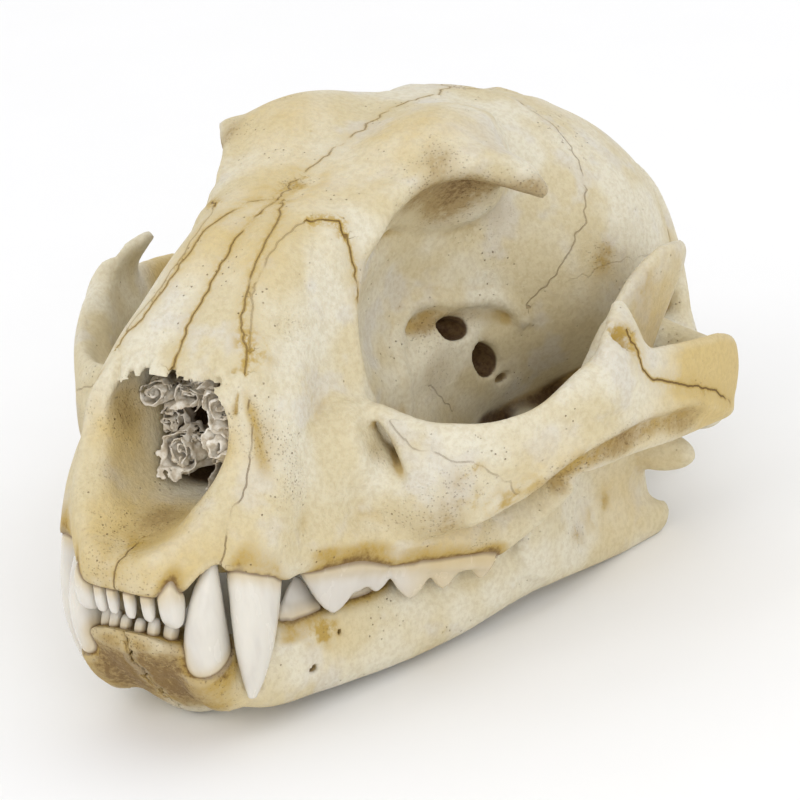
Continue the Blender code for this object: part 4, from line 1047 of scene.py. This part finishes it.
DIRT_AND_SHADE = [
    ((0.0, 2.0, -2.0), 8.0, 0.65), ((15.4, 57.0, 39.4), 5.5, 1.2), ((15.4, 70.0, 36.0), 5.0, 0.5),
    ((15.6, 48.6, 41.4), 3.6, 1.1), ((18.6, 55.6, 42.0), 4.0, 1.2), ((22.0, 59.4, 41.6), 3.2, 1.2),
    ((31.5, 32.5, 8.0), 4.0, 0.5), ((24.5, 30.5, 2.5), 4.5, 0.45), ((8.8, 14.0, 16.0), 4.0, 0.7),
    ((13.5, 12.0, 17.0), 4.0, 0.4), ((14.5, 16.0, 11.0), 5.0, 0.4), ((13.0, 22.0, 30.0), 3.0, 0.4),
    ((26.2, 61.6, 41.8), 2.8, 1.1), ((44.0, 56.0, 9.4), 3.4, 0.6), ((46.2, 72.0, 9.6), 4.0, 0.7),
    ((40.0, 45.6, 6.0), 3.0, 0.8), ((0.0, 9.0, 3.6), 4.0, 0.9), ((8.0, 8.0, 9.0), 3.0, 0.5),
    ((30.0, 33.0, 2.0), 4.0, 0.6),
    ((24.6, 84.4, 28.2), 3.0, 0.8), ((10.0, 61.0, 14.0), 5.0, 0.6), ((0.0, 40.6, 43.8), 2.4, 0.8),
    ((17.0, 50.4, 47.0), 3.4, 0.7), ((22.0, 29.0, 12.0), 2.2, 0.9), ((28.0, 44.0, -4.0), 4.0, 0.6),
    ((0.0, 118.0, 14.0), 8.0, 0.6), ((16.0, 100.0, -6.0), 6.0, 0.4),
    *((place, 2.4, 0.3) for place in stations(MASSETER_GROOVE, 24)),
    *((place, 1.8, 0.4) for place in stations(SOCKET_GROOVE, 12)),
]
SHADES = [
    ((0.0, 25.0, 12.0), 7.0, 1.3), ((0.0, 25.0, 21.0), 7.0, 1.2), ((10.0, 77.0, 1.6), 3.2, 1.0),
    ((10.6, 83.0, 2.0), 3.2, 1.1), ((13.4, 86.0, 2.6), 3.4, 1.1), ((15.4, 90.0, 3.4), 3.2, 1.1),
    ((0.0, 108.0, 14.0), 6.0, 1.2),
]
# Painted shade inside holes and the nose cavity, applied only where the wide share is high
DEPTHS = [
    ((0.0, 27.0, 12.0), 11.0, 2.0), ((0.0, 26.0, 22.0), 10.0, 2.0), ((9.4, 66.0, 18.4), 3.4, 2.6),
    ((11.5, 72.5, 13.0), 3.6, 2.4), ((14.4, 77.0, 9.4), 2.6, 2.4), ((0.0, 112.0, 14.0), 8.0, 2.0),
]
JAW_TINTS = [
    ((2.0, 4.0, -16.0), 9.0, 1.3), ((10.0, 12.0, -22.0), 7.0, 0.6), ((31.0, 80.0, -6.0), 12.0, 0.6),
    ((33.0, 84.0, 22.0), 10.0, 0.7), ((16.0, 24.0, -14.0), 6.0, 0.5), ((20.0, 40.0, -18.0), 12.0, 0.25),
]
JAW_DIRT = [
    ((0.0, 3.0, -15.0), 6.5, 1.6), ((4.0, 7.0, -20.0), 6.5, 1.5), ((7.0, 5.0, -13.0), 4.0, 0.8),
    ((30.9, 68.3, -9.3), 2.2, 0.7), ((30.7, 76.0, -6.0), 2.0, 0.6), ((16.4, 22.6, -13.4), 2.0, 0.6),
]
# Place of each nerve hole of the jaw, then radius and strength of its painted shade and of its painted
# shade in the depth
HOLE_SHADING = [
    ((11.6, 13.4, -18.0), (1.2, 0.9), (1.6, 1.6)), ((14.6, 21.4, -17.6), (1.1, 0.9), (1.5, 1.6)),
    ((15.8, 25.6, -13.6), (1.0, 0.8), (1.3, 1.4)),
]
JAW_SHADES = [(place, *shade) for place, shade, _ in HOLE_SHADING]
JAW_DEPTHS = [(place, *depth) for place, _, depth in HOLE_SHADING]
JAW_SEAMS = [([(0.4, 0.4, -11.1), (0.4, 3.4, -15.5), (0.5, 6.0, -18.4), (0.4, 10.0, -22.0)], 0.5, 0.15, 0.7)]


# In mm: how far a seam counts, where its line has faded, how far it runs past its end, and its stain's width
SEAM_REACH, SEAM_FADE, SEAM_END, STAIN_WIDTH = 4.0, 1.8, 0.5, 1.5
# Depth and width of the groove along a seam, and width of the gum's stain and painted shade
GROOVE_DEPTH, GROOVE_WIDTH, GUM_WIDTH = 0.12, 0.5, 1.1
# Points measured at once, and height over the skin at which the wide share is read
BATCH, WIDE_LIFT = 4000, 0.8


def marks_of(points, found):
    """For each point: signed distance to the nearest seam, the seam's strength there, and its stain."""
    across, nearest = np.full((2, len(points)), SEAM_REACH)
    strength, stain = np.zeros((2, len(points)))
    for places, sideways, strong, seeps in found:
        low, high = places.min(axis=0) - SEAM_REACH, places.max(axis=0) + SEAM_REACH
        near = ((points > low) & (points < high)).all(axis=1)
        for part in np.array_split(np.flatnonzero(near), near.sum() // BATCH + 1):
            gaps = points[part, None] - places
            first = (gaps ** 2).sum(axis=-1).argmin(axis=1)
            gap = gaps[np.arange(len(part)), first]
            away = np.linalg.norm(gap, axis=1)
            ended = (first == 0) | (first == len(places) - 1)
            fresh = (away < nearest[part]) & ~(ended & (away > SEAM_END))
            rows, gap, first, away = part[fresh], gap[fresh], first[fresh], away[fresh]
            nearest[rows] = away
            across[rows] = (gap * sideways[first]).sum(axis=1)
            strength[rows] = strong * np.clip(SEAM_FADE - away, 0, 1)
            stain[rows] = np.maximum(stain[rows], seeps * np.exp(-(away / STAIN_WIDTH) ** 2))
    return across, strength, stain


def gum_of(points, fields):
    """1 where a point touches a tooth, falling as a bell of its distance, by fields given with their side."""
    away = np.min([read(space, field, points * (way, 1, 1)) for space, field, way in fields], axis=0)
    return np.exp(-(np.clip(away, 0, None) / GUM_WIDTH) ** 2)


def patches_of(points, patches):
    """Sum of bells round the patches."""
    total = np.zeros(len(points))
    for place, radius, strength in patches:
        total += strength * np.exp(-((points - place) ** 2).sum(axis=1) / radius ** 2)
    return total


def keep(piece, name, values):
    piece.data.attributes.new(name, "FLOAT", "POINT").data.foreach_set("value", values.astype(np.float32))


def finish_bone(piece, held, way, found, patches, broad, teeth_near):
    """Gives a bone its marks, the broad ones alike on both sides, its grooves and its place on the floor."""
    points = points_of(piece)
    own = points * (way, 1, 1)
    up = slope(held.space, held.field, own)
    across, strength, stain = marks_of(own, found)
    keep(piece, "seam", across)
    keep(piece, "seam_near", strength)
    keep(piece, "seep", stain)
    keep(piece, "patch", patches_of(own, patches))
    folded = own.copy()
    folded[:, 0] = np.abs(own[:, 0])
    for name, spots in broad.items():
        keep(piece, name, patches_of(folded, spots))
    keep(piece, "gum", gum_of(own, teeth_near))
    keep(piece, "wide", read(held.space, held.wide, own + WIDE_LIFT * up))
    keep(piece, "narrow", read(held.space, held.narrow, own))
    own = own - GROOVE_DEPTH * up * (strength * np.exp(-((across / GROOVE_WIDTH) ** 2)))[:, None]
    piece.data.vertices.foreach_set("co", on_floor(own * (way, 1, 1)).astype(np.float32).ravel())
    piece.data.set_sharp_from_angle(angle=radians(65))
    piece.data.update()


def hand_over(piece, node):
    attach(piece, "root")
    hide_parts(node)


skull_broad = {"tint": TINTS, "dirt_and_shade": DIRT_AND_SHADE, "shade": SHADES, "deep": DEPTHS}
jaw_broad = {"tint": JAW_TINTS, "dirt_and_shade": JAW_DIRT, "shade": JAW_SHADES, "deep": JAW_DEPTHS}
upper_rows = [(FANGS, rows["upper_left"], 1), (FANGS, rows["upper_right"], -1)]
for node, piece in pieces.items():
    if node.startswith("mandible"):
        side = node.split("_")[1]
        held, way = BONES[side], SIDES[side]
        found = [(*seam(held, path, zigzag), strong, stain) for path, strong, zigzag, stain in JAW_SEAMS]
        lower_row = [(LOWER_FANGS, rows["lower_" + side], 1)]
        finish_bone(piece, held, way, found, JAW_PATCHES, jaw_broad, lower_row)
    else:
        finish_bone(piece, BONES["skull"], 1, seams, PATCHES, skull_broad, upper_rows)
    hand_over(piece, node)
print("bones marked and laid on the floor")

# %% The teeth and scrolls as pieces
# Where the colour starts to change from front to cheek teeth and over what length, both in mm along y
REAR_FROM, REAR_LENGTH = 17.0, 20.0
# A part of the scrolls with fewer points than this is a crumb
SCROLL_LEAST = 1500


def tooth_row(name, node, space, sides_of_row):
    """One mesh of the fields' skins, each on its own side, with each point's distance from the bone."""
    all_points, all_quads, gums = [], [], []
    for field, way, held, held_way in sides_of_row:
        points, quads = surface(space, field)
        points = points * (way, 1, 1)
        all_quads.append(quads[:, ::way] + sum(len(p) for p in all_points))
        all_points.append(points)
        gums.append(read(held.space, held.field, points * (held_way, 1, 1)))
    points = np.concatenate(all_points)
    piece = new_mesh(name, on_floor(points), np.concatenate(all_quads))
    keep(piece, "above_gum", np.clip(np.concatenate(gums), -1, 4))
    keep(piece, "rear", np.clip((points[:, 1] - REAR_FROM) / REAR_LENGTH, 0, 1))
    piece.data.shade_smooth()
    hand_over(piece, node)
    return piece


scroll_points, scroll_quads = skin(NOSE, scrolls, least=SCROLL_LEAST)
nose_scrolls = new_mesh("nose_scrolls", on_floor(scroll_points), scroll_quads)
keep(nose_scrolls, "behind", scroll_points[:, 1])
nose_scrolls.data.shade_smooth()
hand_over(nose_scrolls, "face")
print("nose_scrolls", len(scroll_quads))

upper = [(rows["upper_" + side], way, BONES["skull"], 1) for side, way in SIDES.items()]
teeth = [tooth_row("upper_teeth", "face", FANGS, upper)]
for side, way in SIDES.items():
    lower = [(rows["lower_" + side], way, BONES[side], way)]
    teeth.append(tooth_row("lower_teeth_" + side, "mandible_" + side, LOWER_FANGS, lower))
print({piece.name: len(piece.data.polygons) for piece in teeth})

# %% [markdown]
# ## Shader maths as Python
#
# A material is easier to read as formulas than as a web of nodes. One class wraps a socket, so that a sum
# or a product of two of them adds the Math node by itself. One method adds any other node.

# %% Values and finishes


class Value:
    """A number that varies over a surface: the output of a shader node."""

    def __init__(self, finish, socket):
        self.finish, self.socket = finish, socket

    def maths(self, operation, a, b=0.0):
        return self.finish.add("ShaderNodeMath", {0: a, 1: b}, operation=operation)

    def __add__(self, other):
        return self.maths("ADD", self, other)

    def __sub__(self, other):
        return self.maths("SUBTRACT", self, other)

    def __rsub__(self, other):
        return self.maths("SUBTRACT", other, self)

    def __mul__(self, other):
        return self.maths("MULTIPLY", self, other)

    def __abs__(self):
        return self.maths("ABSOLUTE", self)

    __radd__, __rmul__ = __add__, __mul__

    def between(self, low, high):
        """0 at low, 1 at high and a smooth step in between; low may be the larger."""
        return self.finish.add("ShaderNodeMapRange", {"Value": self, "From Min": low, "From Max": high},
                               interpolation_type="SMOOTHSTEP")


class Finish:
    """A procedural material with its Principled shader."""

    def __init__(self, name, **constants):
        self.material = bpy.data.materials.new(name)
        self.material.use_nodes = True
        self.tree = self.material.node_tree
        self.shader = self.tree.nodes["Principled BSDF"]
        for socket, value in constants.items():
            self.shader.inputs[socket.replace("_", " ")].default_value = value

    def add(self, kind, inputs, output=0, **settings):
        """Adds a node: first its settings, then a value or a link for each socket."""
        node = self.tree.nodes.new(kind)
        for name, value in settings.items():
            setattr(node, name, value)
        for name, value in inputs.items():
            self.put(node.inputs[name], value)
        return Value(self, node.outputs[output])

    def put(self, socket, value):
        if isinstance(value, Value):
            self.tree.links.new(value.socket, socket)
        else:
            socket.default_value = value

    def mark(self, name):
        return self.add("ShaderNodeAttribute", {}, "Fac", attribute_name=name)

    def noise(self, size, detail=3.0, roughness=0.55, stretch=(1, 1, 1)):
        """Noise whose lumps are about size mm across, read at Object coordinates."""
        place = self.add("ShaderNodeTexCoord", {}, "Object")
        if stretch != (1, 1, 1):
            place = self.add("ShaderNodeMapping", {"Vector": place, "Scale": stretch})
        return self.add("ShaderNodeTexNoise", {"Vector": place, "Scale": 1 / (size * MM), "Detail": detail,
                                               "Roughness": roughness})

    def cells(self, size):
        """Distance to the nearest of scattered points about size mm apart, in shares of that size."""
        place = self.add("ShaderNodeTexCoord", {}, "Object")
        return self.add("ShaderNodeTexVoronoi", {"Vector": place, "Scale": 1 / (size * MM)})

    def blend(self, share, a, b):
        """The colour a, turning to b as share goes from 0 to 1."""
        colours = [c if isinstance(c, Value) else (*c, 1) for c in (a, b)]
        return self.add("ShaderNodeMix", {0: share, 6: colours[0], 7: colours[1]}, 2, data_type="RGBA")

    def wear(self, pieces, colour, roughness, height, strength, depth):
        """Links colour, roughness and a bump of that height, and puts the material on the pieces."""
        self.put(self.shader.inputs["Base Color"], colour)
        self.put(self.shader.inputs["Roughness"], roughness)
        bump = self.add("ShaderNodeBump", {"Height": height, "Strength": strength, "Distance": depth * MM})
        self.put(self.shader.inputs["Normal"], bump)
        for piece in pieces:
            piece.data.materials.clear()
            piece.data.materials.append(self.material)


print("shader maths ready")

# %% [markdown]
# ## Old bone
#
# Clean bone is a warm ivory with soft, cloudy changes, and ochre where fat once soaked it: along sutures,
# in creases and in scattered patches. Deep holes and hollows are painted brown and umber as shade, and so
# are the gaps at the teeth and the stretches under ledges. Its surface is matt with fine pores. Everything
# is read at Object coordinates or from the marks on the points, so nothing slides when the view changes.

# %% The bone finish
IVORY, CREAM, GREY_BONE = (0.71, 0.665, 0.53), (0.635, 0.555, 0.365), (0.645, 0.615, 0.555)
STRAW, OCHRE, TAN = (0.61, 0.465, 0.20), (0.44, 0.295, 0.07), (0.345, 0.24, 0.095)
BROWN, UMBER = (0.135, 0.066, 0.018), (0.070, 0.030, 0.009)

bone_finish = Finish("old_bone", Subsurface_Weight=0.05, Subsurface_Radius=(0.9, 0.55, 0.3),
                     Subsurface_Scale=MM, Specular_IOR_Level=0.3)
clouds = bone_finish.noise(13, 2.0)
mottle = bone_finish.noise(3.2, 4.0, 0.62)
fine = bone_finish.noise(0.8, 4.0, 0.65)
fibres = bone_finish.noise(0.45, 2.0, 0.5, (1, 1, 0.12))
wide, narrow = bone_finish.mark("wide"), bone_finish.mark("narrow")
tint, dirt_and_shade, gum = bone_finish.mark("tint"), bone_finish.mark("dirt_and_shade"), bone_finish.mark("gum")
tone = bone_finish.blend(clouds.between(0.40, 0.60), CREAM, IVORY)
tone = bone_finish.blend(bone_finish.noise(8, 3.0).between(0.52, 0.66) * 0.6, tone, GREY_BONE)
tone = bone_finish.blend((tint * (mottle + 0.35)).between(0.05, 1.1), tone, STRAW)
# Tan from the dirt marks: dirt, and painted shadow under the brow, the socket's ledge and the cheek's ridge
tone = bone_finish.blend((dirt_and_shade * (mottle + fine)).between(0.25, 1.1) * 0.9, tone, TAN)
seep = bone_finish.mark("seep")
soaked = bone_finish.mark("patch") * mottle.between(0.38, 0.62) + seep * fine.between(0.3, 0.6) * 1.3
tone = bone_finish.blend((soaked * 0.8).between(0.0, 1.0), tone, OCHRE)
tone = bone_finish.blend((gum * (0.7 + fine)).between(0.25, 1.2), tone, OCHRE)
tone = bone_finish.blend(narrow.between(0.53, 0.64) * 0.7, tone, OCHRE)
# Darker with the wide share: tan, partly stain and partly painted shade; brown in deep hollows, painted shade
tone = bone_finish.blend(wide.between(0.54, 0.70) * 0.7, tone, TAN)
tone = bone_finish.blend(wide.between(0.62, 0.78) * 0.8, tone, BROWN)
# Painted shade: umber in the deepest hollows, at the shade marks, and at the deep marks inside holes
shade = (bone_finish.mark("shade") * (0.7 + 0.6 * mottle)).between(0.1, 0.9)
shade = shade + (bone_finish.mark("deep") * wide.between(0.40, 0.62)).between(0.2, 1.0)
tone = bone_finish.blend((wide.between(0.70, 0.88) + shade).between(0.0, 1.0) * 0.96, tone, UMBER)
# Brown from the dirt marks again: dirt, and painted shadow under those ledges
tone = bone_finish.blend((dirt_and_shade * fine).between(0.5, 1.0) * 0.7, tone, BROWN)
# Painted shade in the gap where each tooth enters the bone, with some stain
tone = bone_finish.blend((gum + 0.3 * fine).between(0.98, 1.18) * 0.85, tone, BROWN)
tone = bone_finish.blend(narrow.between(0.46, 0.38) * 0.2, tone, IVORY)
tone = bone_finish.blend(fine.between(0.62, 0.34) * 0.22, tone, TAN)
wobble = bone_finish.noise(0.5, 2.0) * 0.2 - 0.1
across = abs(bone_finish.mark("seam") + wobble)
near = bone_finish.mark("seam_near") * bone_finish.noise(5, 2.0).between(0.3, 0.48)
line = across.between(0.17, 0.04) * near
tone = bone_finish.blend(across.between(0.5, 0.12) * near * seep.between(0.1, 0.5), tone, OCHRE)
tone = bone_finish.blend(line * 0.8, tone, BROWN)
spots = bone_finish.noise(7, 2.0)
pores = bone_finish.cells(1.1).between(0.15, 0.07) * spots.between(0.5, 0.62)
pricks = bone_finish.cells(0.45).between(0.30, 0.12) * (spots * 0.6 + dirt_and_shade * 0.5).between(0.32, 0.6)
tone = bone_finish.blend(pores * 0.6 + pricks * 0.25, tone, BROWN)
matt = 0.58 + 0.2 * mottle
relief = fine * 0.5 + mottle * 0.5 + fibres * 0.25 - line * 0.8 - pores * 0.7 - pricks * 0.4
bone_finish.wear(pieces.values(), tone, matt, relief, 0.9, 0.3)

THIN_DARK, THIN_PALE = (0.62, 0.54, 0.42), (0.92, 0.88, 0.80)
scroll_finish = Finish("thin_bone")
crumbs = scroll_finish.noise(1.2, 3.0, 0.6)
sheet = scroll_finish.blend(crumbs.between(0.35, 0.65), THIN_DARK, THIN_PALE)
# Painted shade: the scrolls turn brown further back in the nose, by the y of each point
sheet = scroll_finish.blend(scroll_finish.mark("behind").between(19.5, 25.0), sheet, BROWN)
scroll_finish.wear([nose_scrolls], sheet, 0.6 + 0.2 * crumbs, crumbs, 0.4, 0.15)
print("bone finish of", len(bone_finish.tree.nodes), "nodes")

# %% [markdown]
# ## Enamel
#
# The crowns are smoother and whiter than the bone, and yellow at the neck, where each point is near the
# gum. Right at the gum they are painted brown as shade.

# %% The tooth finish
ENAMEL, GREY, WORN, NECK = (0.70, 0.665, 0.59), (0.62, 0.585, 0.525), (0.60, 0.555, 0.50), (0.55, 0.42, 0.20)

tooth_finish = Finish("enamel", Subsurface_Weight=0.2, Subsurface_Radius=(0.8, 0.6, 0.45),
                      Subsurface_Scale=MM, Coat_Weight=0.25, Coat_Roughness=0.12)
above = tooth_finish.mark("above_gum")
streaks = tooth_finish.noise(2.4, 3.0, 0.5, (1, 1, 0.3))
white = tooth_finish.blend(streaks.between(0.25, 0.6), GREY, ENAMEL)
rear = tooth_finish.mark("rear")
white = tooth_finish.blend(rear.between(0.05, 0.25) * 0.5, white, WORN)
white = tooth_finish.blend(rear.between(0.7, 1.0) * 0.55, white, STRAW)
white = tooth_finish.blend((above + streaks).between(2.6, 0.4) * 0.7, white, NECK)
# Painted shade: brown right at the gum, where the tooth enters the bone
white = tooth_finish.blend(above.between(0.45, 0.0) * 0.7, white, BROWN)
tooth_finish.wear(teeth, white, 0.2 + 0.12 * streaks, streaks + tooth_finish.noise(0.5) * 0.3, 0.08, 0.08)
print("tooth finish of", len(tooth_finish.tree.nodes), "nodes")

# %% [markdown]
# ## Floor, light and camera
#
# The floor is plain and pale and reaches far beyond the view. Large soft lamps, the strongest beside the
# camera, and a white surrounding keep the shadows light. The camera stands where the photographer stood.

# %% The stage
FLOOR_SIZE = 3.0
CAMERA_AT = (0.26022, -0.38530, 0.22477)
CAMERA_AIM = (0.00815, -0.00592, 0.02970)
CAMERA_ROLL, CAMERA_LENS = radians(4.79), 156.8

# Name, place in metres, edge in metres, power in watts
LAMPS = [("key", (-0.25, -0.70, 0.70), 0.5, 0.95), ("fill", (0.66, -0.66, 0.46), 0.7, 2.0),
         ("top", (0.1, 0.4, 0.95), 0.8, 0.4)]
LAMP_AIM = (0, 0, 0.03)
FLOOR_DARK, FLOOR_PALE = (0.91, 0.91, 0.915), (0.93, 0.93, 0.935)
SURROUNDING = 0.97

corners = FLOOR_SIZE * np.array([(-1, -1, 0), (1, -1, 0), (1, 1, 0), (-1, 1, 0)])
floor = new_mesh("floor", corners, np.array([[0, 1, 2, 3]]))
floor_finish = Finish("pale_floor")
grainy = floor_finish.noise(30, 2.0)
pale = floor_finish.blend(grainy, FLOOR_DARK, FLOOR_PALE)
floor_finish.wear([floor], pale, 0.8 + 0.1 * grainy, grainy, 0.02, 0.1)


def lamp(name, place, aim, size, power):
    """A square area light at place, facing aim."""
    light = bpy.data.lights.new(name, "AREA")
    light.size, light.energy = size, power
    made = bpy.data.objects.new(name, light)
    made.location = place
    made.rotation_euler = (Vector(aim) - Vector(place)).to_track_quat("-Z", "Y").to_euler()
    bpy.context.scene.collection.objects.link(made)


for name, place, size, power in LAMPS:
    lamp(name, place, LAMP_AIM, size, power)
world = bpy.data.worlds.new("studio")
world.use_nodes = True
background = world.node_tree.nodes["Background"]
background.inputs["Color"].default_value = (1, 1, 1, 1)
background.inputs["Strength"].default_value = SURROUNDING
bpy.context.scene.world = world
bpy.context.scene.view_settings.view_transform = "Standard"

forward = (Vector(CAMERA_AIM) - Vector(CAMERA_AT)).normalized()
level = forward.cross(Vector((0, 0, 1))).normalized()
upright = level.cross(forward)
up = upright * cos(CAMERA_ROLL) + level * sin(CAMERA_ROLL)
camera = bpy.data.objects.new("camera", bpy.data.cameras.new("camera"))
turned = Matrix((forward.cross(up), up, -forward)).transposed()
camera.matrix_world = Matrix.Translation(CAMERA_AT) @ turned.to_4x4()
camera.data.lens = CAMERA_LENS
camera.data.clip_start, camera.data.clip_end = 0.01, 20.0
bpy.context.scene.collection.objects.link(camera)
bpy.context.scene.camera = camera
print("camera %.0f mm from the skull" % ((Vector(CAMERA_AIM) - Vector(CAMERA_AT)).length / MM))
